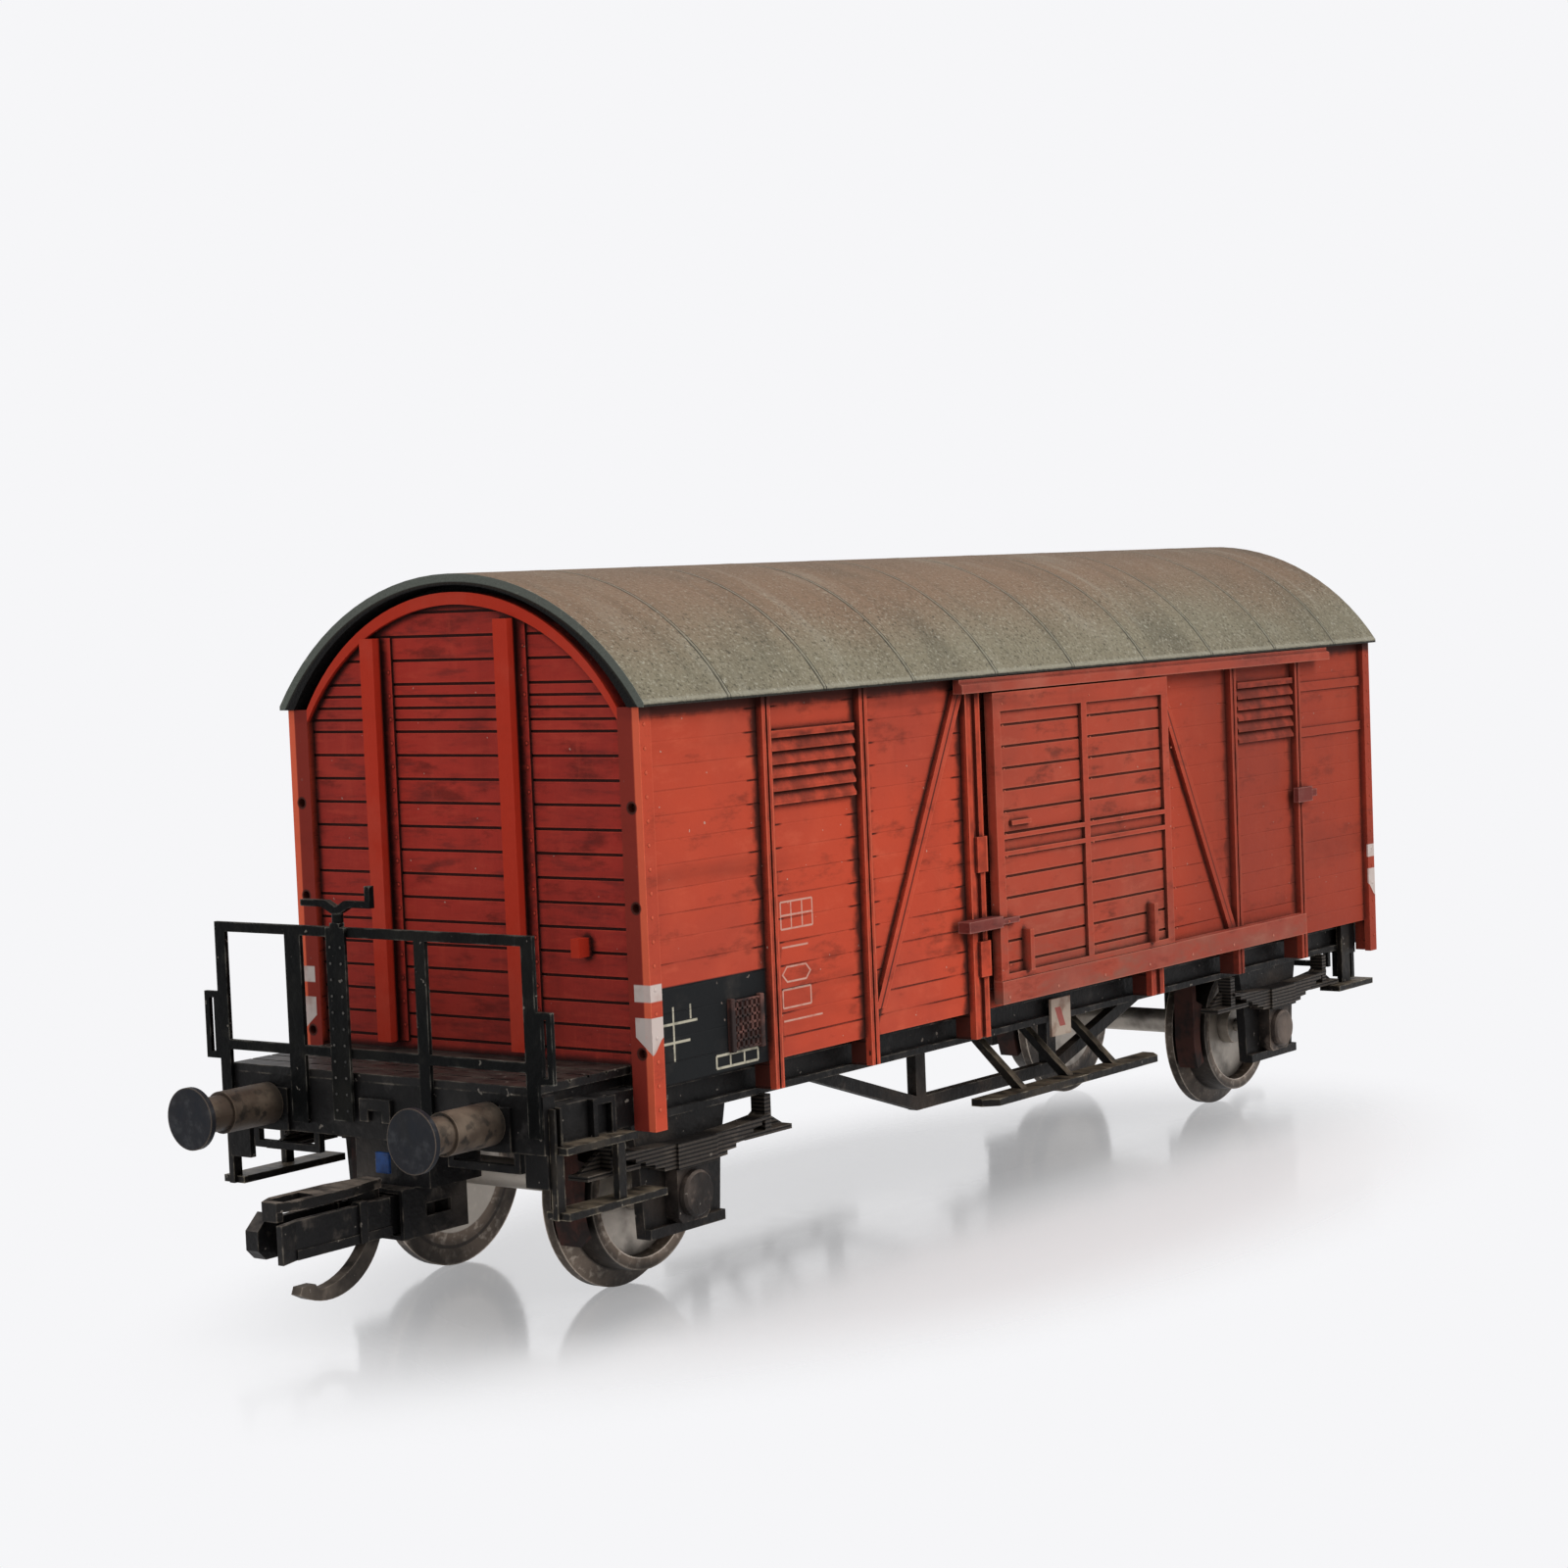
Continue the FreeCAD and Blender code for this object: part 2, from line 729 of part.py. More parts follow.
def make_corner_post(end, wall, inward):
    """An angle round a corner of the body, drilled for its handrails."""
    leg = f"({wall} + ({inward}) * corner_leg)"
    inner = f"({wall} + ({inward}) * post_depth)"
    section = (
        (wall, f"-{BODY_SIDE}"),
        (leg, f"-{BODY_SIDE}"),
        (leg, f"-{BOARD_FACE}"),
        (inner, f"-{BOARD_FACE}"),
        (inner, f"-({BODY_SIDE} - corner_flange)"),
        (wall, f"-({BODY_SIDE} - corner_flange)"),
    )
    post = new_body(f"{end}_corner_post")
    padded(post, f"{end}_corner_pad", "XY_Plane", section, "corner_foot", "eave_height")
    document.recompute()

    def holes(sketch):
        for level in HOLE_LEVELS:
            circle(sketch, (f"-({BODY_SIDE} - corner_flange / 2)", level), "rail_hole / 2")

    low, high = sorted((wall, inner), key=number)
    pocket_of(post, f"{end}_rail_holes", "YZ_Plane", low, high, holes)
    return post


def make_post(name, place, width, slot):
    """A post with a groove down its face, and a foot plate that reaches in to the sole bar."""
    middle = f"({BODY_MIDDLE} + ({place}))"
    section = (
        (f"{middle} - {width} / 2", f"-{BOARD_FACE}"),
        (f"{middle} - {width} / 2", f"-{BODY_SIDE}"),
        (f"{middle} - {slot} / 2", f"-{BODY_SIDE}"),
        (f"{middle} - {slot} / 2", f"-({BODY_SIDE} - post_depth / 2)"),
        (f"{middle} + {slot} / 2", f"-({BODY_SIDE} - post_depth / 2)"),
        (f"{middle} + {slot} / 2", f"-{BODY_SIDE}"),
        (f"{middle} + {width} / 2", f"-{BODY_SIDE}"),
        (f"{middle} + {width} / 2", f"-{BOARD_FACE}"),
    )
    foot = (
        (f"-{BOARD_FACE}", "post_foot"),
        (f"-{BOARD_FACE}", "sill_height"),
        ("-sole_bar_face", "sill_height"),
        ("-sole_bar_face", "sole_bar_base + sole_bar_flange"),
    )
    left = f"({middle} - {width} / 2)"
    return [
        plate(f"{name}_post", "XY_Plane", section, "post_foot", "eave_height"),
        plate(f"{name}_foot", "YZ_Plane", foot, left, f"{left} + foot_plate"),
    ]


def make_brace(name, foot, head, foot_level, head_level):
    """A slanting angle across a bay."""
    low, high = f"({BODY_MIDDLE} + ({foot}))", f"({BODY_MIDDLE} + ({head}))"
    half = "brace_width / 2"
    corners = (
        (f"{low} - {half}", foot_level),
        (f"{low} + {half}", foot_level),
        (f"{high} + {half}", head_level),
        (f"{high} - {half}", head_level),
    )
    return plate(f"{name}_brace", "XZ_Plane", corners,
                 f"-({BOARD_FACE} + brace_depth)", f"-{BOARD_FACE}")


def make_louvre(name, place):
    """A moulded ventilator: overlapping blades below a cap."""
    face = f"-{BOARD_FACE}"
    lip = f"-({BOARD_FACE} + louvre_proud)"
    middle = f"({BODY_MIDDLE} + ({place}))"
    span = (f"{middle} - louvre_length / 2", f"{middle} + louvre_length / 2")
    pieces = []
    for index in range(5):
        base = f"(louvre_base + louvre_pitch * {index})"
        blade = (
            (face, base),
            (face, f"{base} + louvre_pitch"),
            (lip, f"{base} + louvre_lip"),
            (lip, base),
        )
        pieces.append(plate(f"{name}_blade_{index}", "YZ_Plane", blade, *span))
    cap = f"(louvre_base + louvre_pitch * {len(pieces)})"
    pieces.append(box(f"{name}_louvre_cap", span, (lip, face), (cap, f"{cap} + louvre_cap")))
    return pieces


def make_side_walls():
    """Boards with corner posts, posts, braces and two ventilators, one side turned for the other."""
    face = f"-{BOARD_FACE}"
    pieces = [
        box("side_boards", (f"{WALL_FRONT} + post_depth", f"{WALL_REAR} - post_depth"),
            (face, f"-{BOARD_BACK}"), ("sill_height", "eave_height")),
        make_corner_post("front", WALL_FRONT, "1"),
        make_corner_post("rear", WALL_REAR, "-1"),
    ]
    for name, place in (("left", "-louvre_centre"), ("right", "louvre_centre")):
        pieces += make_louvre(name, place)
    for post in POSTS:
        pieces += make_post(*post)
    pieces += [make_brace(*brace) for brace in BRACES]
    bay = (f"{BODY_MIDDLE} + outer_post + post_width / 2", f"{WALL_REAR} - corner_leg")
    for index in range(2):
        base = f"(strap_base + strap_lift * {index})"
        pieces.append(box(f"bay_strap_{index}", bay, (f"-({BOARD_FACE} + strap_proud)", face),
                          (base, f"{base} + strap_height")))
    door_post = f"({BODY_MIDDLE} - inner_post)"
    for index, level in enumerate(("staple_low", "staple_high")):
        pieces.append(box(f"staple_{index}",
                          (f"{door_post} - door_post_slot / 2", f"{door_post} + door_post_width / 2"),
                          (f"-({BODY_SIDE} + staple_proud)", face),
                          (level, f"{level} + staple_height")))
    right_side = node(fused("right_side", pieces), "right_side_wall")
    node(opposite_hand("left_side", right_side), "left_side_wall")


# ---------------------------------------------------------------- sliding doors

def make_doors():
    """Framed plank doors that stand in front of the posts."""
    back = f"-{BODY_SIDE}"
    face = f"-({BODY_SIDE} + door_panel)"
    front = f"-({BODY_SIDE} + door_panel + door_frame)"
    panel = new_body("door_planks")
    padded(panel, "door_pad", "XZ_Plane", rectangle(DOOR_LEFT, DOOR_RIGHT, "door_base", "door_top"),
           face, back)
    document.recompute()
    groove = pocket_of(
        panel, "door_groove", "XZ_Plane", face, f"{face} + groove_depth",
        lambda sketch: outline(sketch, rectangle(
            f"{DOOR_LEFT} + door_stile / 2", f"{DOOR_RIGHT} - door_stile / 2",
            "door_first_groove - groove_width / 2", "door_first_groove + groove_width / 2")),
    )
    repeated(panel, groove, "Z_Axis", "plank_pitch", 12)
    centre = f"({DOOR_LEFT} + door_width / 2)"
    stiles = (
        (DOOR_LEFT, f"{DOOR_LEFT} + door_stile"),
        (f"{centre} - door_centre_half", f"{centre} + door_centre_half"),
        (f"{DOOR_RIGHT} - door_stile", DOOR_RIGHT),
    )
    band_top = "(door_middle_level + door_middle_band)"
    bands = (
        ("door_base", "door_base + door_stile / 2"),
        ("door_middle_level", "door_middle_level + door_band_rim"),
        (f"{band_top} - door_band_rim", band_top),
        ("door_top - door_top_band", "door_top"),
    )
    pieces = [panel]
    for index, span in enumerate(stiles):
        pieces.append(box(f"door_stile_{index}", span, (front, face), ("door_base", "door_top")))
    for index, span in enumerate(bands):
        pieces.append(box(f"door_band_{index}", (DOOR_LEFT, DOOR_RIGHT), (front, face), span))
    for index, place in enumerate(("grip_inset", "door_width - grip_inset - grip_width")):
        grip = (f"{DOOR_LEFT} + {place}", f"{DOOR_LEFT} + {place} + grip_width")
        pieces.append(box(f"door_grip_{index}", grip, (f"{face} - grip_proud", face),
                          ("door_base + door_stile / 2", "door_base + grip_height")))
    pieces.append(box("door_bar", (f"{DOOR_LEFT} + door_bar_place",
                                   f"{DOOR_LEFT} + door_bar_place + door_bar_length"),
                      (front, face), ("door_bar_level", "door_bar_level + door_band_rim")))
    right_door = node(fused("door", pieces), "right_door")
    node(opposite_hand("other_door", right_door), "left_door")


def make_door_rails():
    """The hooded rail above each door and the guide rail below it."""
    outside = f"-({BODY_SIDE} + rail_depth)"
    hood_top = "(top_rail_base + top_rail_height)"
    hood = (
        (f"-{BODY_SIDE}", "top_rail_base"),
        (f"-{BODY_SIDE}", hood_top),
        (f"{outside} + rail_step", hood_top),
        (f"{outside} + rail_step", f"{hood_top} - rail_step"),
        (outside, f"{hood_top} - rail_step * 1.5"),
        (outside, "top_rail_base"),
    )
    left = f"({DOOR_LEFT} - top_rail_lead)"
    top_rail = node(plate("top_rail", "YZ_Plane", hood, left, f"{left} + top_rail_length"),
                    "right_door_top_rail")
    node(opposite_hand("other_top_rail", top_rail), "left_door_top_rail")
    guide = box("bottom_rail", (DOOR_LEFT, f"{DOOR_LEFT} + bottom_rail_length"),
                (outside, f"-{BODY_SIDE}"),
                ("bottom_rail_base", "bottom_rail_base + bottom_rail_height"))
    node(guide, "right_door_bottom_rail")
    node(opposite_hand("other_bottom_rail", guide), "left_door_bottom_rail")


def make_door_fittings():
    """The hasp across each door's edge, and the stop on the last post."""
    deep = f"-({BODY_SIDE} + door_panel + door_frame)"
    hasp = fused("hasp", [
        box("hasp_plate", (f"{DOOR_LEFT} - hasp_reach", DOOR_LEFT),
            (f"{deep} - hasp_thickness", f"-{BODY_SIDE}"),
            ("hasp_level", "hasp_level + hasp_height")),
        box("hasp_nose", (DOOR_LEFT, f"{DOOR_LEFT} + hasp_nose_length"),
            (f"{deep} - hasp_thickness", deep),
            ("hasp_level + hasp_height / 4", "hasp_level + hasp_height * 3 / 4")),
    ])
    node(hasp, "right_door_hasp")
    node(opposite_hand("other_hasp", hasp), "left_door_hasp")
    post = f"({BODY_MIDDLE} + outer_post)"
    stop = fused("stop", [
        box("stop_plate", (f"{post} - stop_length / 2", f"{post} + stop_length / 2"),
            (f"-({BODY_SIDE} + stop_depth)", f"-{BODY_SIDE}"),
            ("stop_level", "stop_level + stop_height")),
        box("stop_loop", (f"{post} + stop_length / 2", f"{post} + stop_length"),
            (f"-({BODY_SIDE} + stop_depth / 2)", f"-{BODY_SIDE}"),
            ("stop_level + stop_height / 4", "stop_level + stop_height * 3 / 4")),
        box("stop_foot", (f"{post} - post_width / 2", f"{post} + stop_length"),
            (f"-{BODY_SIDE}", f"-{BOARD_FACE}"),
            ("stop_level + stop_height / 4", "stop_level + stop_height * 3 / 4")),
    ])
    stop = cut("stop_on_post", stop, box(
        "stop_post_room", (f"{post} - post_width / 2", f"{post} + post_width / 2"),
        (f"-{BODY_SIDE}", f"-{BOARD_FACE}"), ("stop_level", "stop_level + stop_height")))
    node(stop, "right_door_stop")
    node(opposite_hand("other_stop", stop), "left_door_stop")


# ---------------------------------------------------------------- chassis

def make_floor():
    """The floor between the walls, and the steel weight that lies on it."""
    node(box("floor_plate", (f"{WALL_FRONT} + post_depth", BEAM_REAR),
             (f"-{BOARD_BACK}", BOARD_BACK), ("sill_height", FLOOR_TOP)), "floor")
    node(box("weight", (f"{BODY_MIDDLE} - ballast_length / 2", f"{BODY_MIDDLE} + ballast_length / 2"),
             ("-ballast_width / 2", "ballast_width / 2"),
             (FLOOR_TOP, f"{FLOOR_TOP} + ballast_height")), "ballast_weight")


def make_chassis():
    """A pan with wheel wells between two channel sole bars, stiffened by ribs."""
    inner = "(sole_bar_face - sole_bar_reach)"
    span = (f"{BEAM_FRONT} + beam_depth", f"{BEAM_REAR} - beam_depth")
    channel = (
        ("-sole_bar_face", "sole_bar_base"),
        (f"-{inner}", "sole_bar_base"),
        (f"-{inner}", "sill_height"),
        ("-sole_bar_face", "sill_height"),
        ("-sole_bar_face", "sill_height - sole_bar_flange"),
        ("-(sole_bar_face - sole_bar_web)", "sill_height - sole_bar_flange"),
        ("-(sole_bar_face - sole_bar_web)", "sole_bar_base + sole_bar_flange"),
        ("-sole_bar_face", "sole_bar_base + sole_bar_flange"),
    )
    clip = f"({BEAM_FRONT} + sole_clip_place)"
    clip_end = f"({clip} + sole_clip_width)"
    clip_depth = ("-(sole_bar_face + sole_clip_proud)", "-(sole_bar_face - sole_bar_web)")
    right_bar = fused("right_bar", [
        plate("right_sole_bar", "YZ_Plane", channel, *span),
        box("sole_bar_end", (span[0], WALL_FRONT),
            ("-sole_bar_face", "-(sole_bar_face - sole_bar_web)"), ("sole_bar_base", "sill_height")),
        box("sole_clip_top", (clip, clip_end), clip_depth,
            ("sill_height - sole_clip_wall", "sill_height")),
        box("sole_clip_front", (clip, f"{clip} + sole_clip_wall"), clip_depth,
            ("sole_bar_base", "sill_height")),
        box("sole_clip_rear", (f"{clip_end} - sole_clip_wall", clip_end), clip_depth,
            ("sole_bar_base", "sill_height")),
    ])
    pan = new_body("pan")
    padded(pan, "pan_pad", "XY_Plane", rectangle(*span, f"-{inner}", inner), PAN_BASE, "sill_height")
    document.recompute()

    def wells(sketch):
        for axle in AXLES.values():
            for side in ("-", ""):
                edges = sorted((f"{side}wheel_well_inner", f"{side}wheel_well_outer"), key=number)
                outline(sketch, rectangle(f"{axle} - wheel_well_length / 2",
                                          f"{axle} + wheel_well_length / 2", *edges))

    pocket_of(pan, "wheel_wells", "XY_Plane", PAN_BASE, "sill_height", wells)
    right_sill = box("right_middle_sill", span, ("-(sill_gap + rib_thickness)", "-sill_gap"),
                     ("rib_base", PAN_BASE))
    pieces = [
        pan,
        right_bar,
        mirrored("left_sole_bar", right_bar, ACROSS),
        right_sill,
        mirrored("left_middle_sill", right_sill, ACROSS),
    ]
    for index, steps in enumerate((-1.5, -0.5, 0.5, 1.5)):
        place = f"cross_rib_pitch * ({steps})"
        pieces.append(box(f"cross_rib_{index}",
                          (f"{place} - rib_thickness / 2", f"{place} + rib_thickness / 2"),
                          ("-cross_rib_reach", "cross_rib_reach"), ("rib_base", PAN_BASE)))
    node(fused("chassis", pieces), "chassis_frame")


def make_buffer_beams():
    """A beam across each end with hand rails below, buffer seats and a plate for the draw gear."""
    for end, top in (("front", "deck_base"), ("rear", "sill_height")):
        depth = (BEAM_FRONT, f"{BEAM_FRONT} + beam_depth")
        bar = (f"{BEAM_FRONT} + guard_rail_bar / 2", f"{BEAM_FRONT} + guard_rail_bar * 3 / 2")
        side = [
            box(f"{end}_guard_rail", bar, ("guard_rail_inner", "guard_rail_outer"),
                ("guard_rail_level", "guard_rail_level + guard_rail_bar")),
            box(f"{end}_guard_inner", bar, ("guard_rail_inner", "guard_rail_inner + guard_rail_bar"),
                ("guard_rail_level", "beam_base")),
            box(f"{end}_guard_outer", bar, ("guard_rail_outer - guard_rail_bar", "guard_rail_outer"),
                ("guard_rail_level", "beam_base")),
            box(f"{end}_end_bracket", bar, ("beam_width / 2 - end_bracket_width", "beam_width / 2"),
                ("end_bracket_base", "beam_base")),
            box(f"{end}_buffer_seat", (f"{BEAM_FRONT} - buffer_seat", BEAM_FRONT),
                ("buffer_spacing / 2 - buffer_seat_half", "buffer_spacing / 2 + buffer_seat_half"),
                ("beam_base", "sill_height")),
        ]
        left = fused(f"{end}_beam_side", side)
        hole = box(f"{end}_hook_hole", (f"{BEAM_FRONT} - hook_plate_proud", BEAM_FRONT),
                   ("-hook_hole_half", "hook_hole_half"),
                   ("hook_plate_base", "hook_plate_base + hook_plate_height / 2"))
        pieces = [
            box(f"{end}_beam_bar", depth, ("-beam_width / 2", "beam_width / 2"), ("beam_base", top)),
            cut(f"{end}_hook_guide", box(
                f"{end}_hook_plate", (f"{BEAM_FRONT} - hook_plate_proud", BEAM_FRONT),
                ("-hook_plate_half", "hook_plate_half"),
                ("hook_plate_base", "hook_plate_base + hook_plate_height")), hole),
            left,
            mirrored(f"{end}_beam_side_right", left, ACROSS),
        ]
        beam = fused(f"{end}_beam", pieces)
        if end == "rear":
            beam = mirrored("rear_beam_turned", beam, ALONG)
        node(beam, f"{end}_buffer_beam")


def make_buffers():
    """Sleeve, ram and round head turned in one piece."""
    seat = f"({BEAM_FRONT} - buffer_seat)"
    head = f"({BEAM_FRONT} - buffer_length)"
    sleeve = f"({BEAM_FRONT} - buffer_sleeve_length)"
    profile = (
        (seat, "0"),
        (head, "0"),
        (head, "buffer_head"),
        (f"{head} + buffer_head_edge", "buffer_head"),
        (f"{head} + buffer_head_edge + buffer_neck", "buffer_ram"),
        (sleeve, "buffer_ram"),
        (sleeve, "buffer_sleeve"),
        (seat, "buffer_sleeve"),
    )
    right = turned("right_buffer", "XY_Plane", ("0", "-buffer_spacing / 2", "buffer_level"), profile)
    left = mirrored("left_buffer", right, ACROSS)
    for side, buffer in (("right", right), ("left", left)):
        node(buffer, f"front_{side}_buffer")
        node(mirrored(f"rear_{side}", buffer, ALONG), f"rear_{side}_buffer")


# ---------------------------------------------------------------- platform

# name, place across, width, foot level
RAILING_POSTS = (
    ("left_end", "railing_half - corner_bar / 2", "corner_bar", "railing_foot"),
    ("left_middle", "left_middle_post", "wide_bar", "left_middle_foot"),
    ("right_middle", "-right_middle_post", "corner_bar", "right_middle_foot"),
    ("right_end", "-(railing_half - corner_bar / 2)", "corner_bar", "railing_foot"),
)


def make_railing():
    """Posts on the face of the beam, two rails and a grab loop at each end."""
    depth = (f"{BEAM_FRONT} - railing_depth", BEAM_FRONT)
    width = ("-railing_half", "railing_half")
    pieces = [
        box("railing_top_bar", depth, width, ("railing_top - railing_bar", "railing_top")),
        box("railing_middle_bar", depth, width, ("railing_middle - railing_bar", "railing_middle")),
    ]
    for name, place, post_width, foot in RAILING_POSTS:
        pieces.append(box(f"railing_{name}", depth,
                          (f"{place} - {post_width} / 2", f"{place} + {post_width} / 2"),
                          (foot, "railing_top")))
    loop = new_body("grab_loop")
    reach = "(railing_half + loop_reach)"
    padded(loop, "grab_loop_pad", "YZ_Plane",
           rectangle("railing_half", reach, "loop_base", "loop_top"), *depth)
    document.recompute()
    pocket_of(loop, "grab_loop_slot", "YZ_Plane", *depth,
              lambda sketch: outline(sketch, rectangle(
                  "railing_half + loop_bar", f"{reach} - loop_bar",
                  "loop_base + loop_bar", "loop_top - loop_bar")))
    pieces += [loop, mirrored("right_grab_loop", loop, ACROSS)]
    return fused("railing", pieces)


def make_brake_column():
    """The post in front of the railing that carries the brake spindle."""
    front = f"({BEAM_FRONT} - railing_depth)"
    half = "brake_column_width / 2"
    column = box("column", (f"{front} - column_depth", front),
                 (f"brake_column_place - {half}", f"brake_column_place + {half}"),
                 ("railing_foot", "railing_top"))
    bracket = box("spindle_bracket", (f"{front} - column_depth", f"{front} + railing_depth"),
                  (f"brake_column_place - {half} / 2", f"brake_column_place + {half} / 2"),
                  ("railing_top", "railing_top + spindle_bracket_height"))
    spindle = document.addObject("Part::Cylinder", "spindle")
    spindle.setExpression("Radius", bound("spindle_radius"))
    spindle.setExpression("Height", bound("crank_level - railing_top - spindle_bracket_height"))
    spindle.setExpression("Placement.Base.x", bound(f"{front} + railing_depth / 2"))
    spindle.setExpression("Placement.Base.y", bound("brake_column_place"))
    spindle.setExpression("Placement.Base.z", bound("railing_top + spindle_bracket_height"))
    return fused("brake_column_parts", [column, bracket, spindle])


def make_brake_crank():
    """A cranked handle, dished at its hub, with an upright grip at one end."""
    hub = "brake_column_place"
    arm = "(crank_level + crank_dish)"
    corners = (
        (f"{hub} + crank_reach", arm),
        (f"{hub} + crank_reach", f"{arm} + crank_bar"),
        (f"{hub} + crank_hub * 2", f"{arm} + crank_bar"),
        (hub, "crank_level + crank_bar"),
        (f"{hub} - crank_hub * 2", f"{arm} + crank_bar"),
        (f"{hub} - crank_reach + crank_bar", f"{arm} + crank_bar"),
        (f"{hub} - crank_reach + crank_bar", f"{arm} + crank_grip"),
        (f"{hub} - crank_reach", f"{arm} + crank_grip"),
        (f"{hub} - crank_reach", arm),
        (f"{hub} - crank_hub * 3", arm),
        (f"{hub} - crank_hub", "crank_level"),
        (f"{hub} + crank_hub", "crank_level"),
        (f"{hub} + crank_hub * 3", arm),
    )
    middle = f"({BEAM_FRONT} - railing_depth / 2)"
    return plate("crank", "YZ_Plane", corners, f"{middle} - crank_bar / 2", f"{middle} + crank_bar / 2")


def make_platform():
    """The deck over the front beam, its railing, and the hand brake."""
    deck_end = f"({WALL_FRONT} + post_depth)"
    top = "(deck_base + deck_thickness)"
    planks = new_body("deck_planks")
    padded(planks, "deck_pad", "XY_Plane",
           rectangle(BEAM_FRONT, deck_end, "-deck_width / 2", "deck_width / 2"), "deck_base", top)
    document.recompute()

    def grooves(sketch):
        for index in range(1, 5):
            place = f"({BEAM_FRONT} + deck_groove_pitch * {index})"
            outline(sketch, rectangle(f"{place} - groove_width / 2", f"{place} + groove_width / 2",
                                      "-(deck_width / 2 + 1)", "deck_width / 2 + 1"))

    pocket_of(planks, "deck_grooves", "XY_Plane", f"{top} - groove_depth", top, grooves)
    bed = box("deck_bed", (f"{BEAM_FRONT} + beam_depth", deck_end),
              ("-deck_bed_width / 2", "deck_bed_width / 2"), ("sill_height", "deck_base"))
    node(fused("deck", [planks, bed]), "platform_deck")
    node(make_railing(), "platform_railing")
    node(make_brake_column(), "brake_column")
    node(make_brake_crank(), "brake_crank")


# ---------------------------------------------------------------- running gear

def make_wheelsets():
    """An axle with two flanged wheels, turned in one piece with its journals."""
    tread_edge = "(wheel_back + wheel_width)"
    web_face = f"({tread_edge} - web_recess)"
    half_profile = (
        ("axle_half", "0"),
        ("axle_half", "journal_radius"),
        (tread_edge, "journal_radius"),
        (tread_edge, "hub_radius"),
        (web_face, "hub_radius"),
        (web_face, "tyre_radius"),
        (tread_edge, "tyre_radius"),
        (tread_edge, "tread_radius - tread_taper"),
        ("wheel_back + flange_thickness * 1.5", "tread_radius"),
        ("wheel_back + flange_thickness", "flange_radius"),
        ("wheel_back", "flange_radius"),
        ("wheel_back", "axle_radius"),
    )
    profile = [*half_profile]
    profile += [(f"-({across})", radius) for across, radius in reversed(half_profile)]
    for end, axle in AXLES.items():
        node(turned(f"{end}_wheels", "YZ_Plane", ("0", AXLE_LEVEL, axle), profile), f"{end}_wheelset")


def both_sides(right_piece, name, label):
    """Name a right-hand piece and its mirror image."""
    node(right_piece, label.format(side="right"))
    node(mirrored(f"left_{name}", right_piece, ACROSS), label.format(side="left"))


def journal_hole(axle):
    """Draw an axle's bearing hole."""
    return lambda sketch: circle(sketch, (axle, AXLE_LEVEL), "journal_radius + bearing_clearance")


def make_axle_guard(end, axle):
    """A waisted plate below the sole bar with a keep across its foot."""
    corners = (
        (f"{axle} - guard_top_half", "sole_bar_base"),
        (f"{axle} - guard_waist_half", "guard_waist"),
        (f"{axle} - guard_foot_half", "guard_base"),
        (f"{axle} + guard_foot_half", "guard_base"),
        (f"{axle} + guard_waist_half", "guard_waist"),
        (f"{axle} + guard_top_half", "sole_bar_base"),
    )
    guard = new_body(f"{end}_guard_plate")
    padded(guard, f"{end}_guard_pad", "XZ_Plane", corners, f"-{GUARD_FACE}", "-guard_back")
    document.recompute()
    pocket_of(guard, f"{end}_guard_bearing", "XZ_Plane", f"-{GUARD_FACE}", "-guard_back",
              journal_hole(axle))
    keep = box(f"{end}_keep", (f"{axle} - guard_foot_half", f"{axle} + guard_foot_half"),
               (f"-{GUARD_FACE} - keep_depth", f"-{GUARD_FACE}"),
               ("guard_base", "guard_base + guard_keep"))
    both_sides(fused(f"{end}_guard", [guard, keep]), f"{end}_guard", f"{end}_{{side}}_axle_guard")


def make_axlebox(end, axle):
    """A bearing box with a round lid, bored for the journal."""
    lid = "(axlebox_face - axlebox_lid_depth)"
    half = "axlebox_height / 2"
    corners = (
        (f"{axle} - axlebox_half", f"{AXLE_LEVEL} - {half} + axlebox_chamfer"),
        (f"{axle} - axlebox_half + axlebox_chamfer", f"{AXLE_LEVEL} - {half}"),
        (f"{axle} + axlebox_half - axlebox_chamfer", f"{AXLE_LEVEL} - {half}"),
        (f"{axle} + axlebox_half", f"{AXLE_LEVEL} - {half} + axlebox_chamfer"),
        (f"{axle} + axlebox_half", f"{AXLE_LEVEL} + {half}"),
        (f"{axle} - axlebox_half", f"{AXLE_LEVEL} + {half}"),
    )
    casing = new_body(f"{end}_box_casing")
    padded(casing, f"{end}_box_pad", "XZ_Plane", corners, f"-{lid}", f"-{GUARD_FACE}")
    document.recompute()
    pocket_of(casing, f"{end}_box_bore", "XZ_Plane", f"-(axle_half + bearing_clearance)",
              f"-{GUARD_FACE}", journal_hole(axle))
    cover = turned(f"{end}_lid", "YZ_Plane", ("0", AXLE_LEVEL, axle), (
        (f"-{lid}", "0"),
        (f"-{lid}", "axlebox_lid"),
        ("-axlebox_face + lid_chamfer", "axlebox_lid"),
        ("-axlebox_face", "axlebox_lid - lid_chamfer"),
        ("-axlebox_face", "0"),
    ))
    both_sides(fused(f"{end}_axlebox", [casing, cover]), f"{end}_axlebox", f"{end}_{{side}}_axlebox")


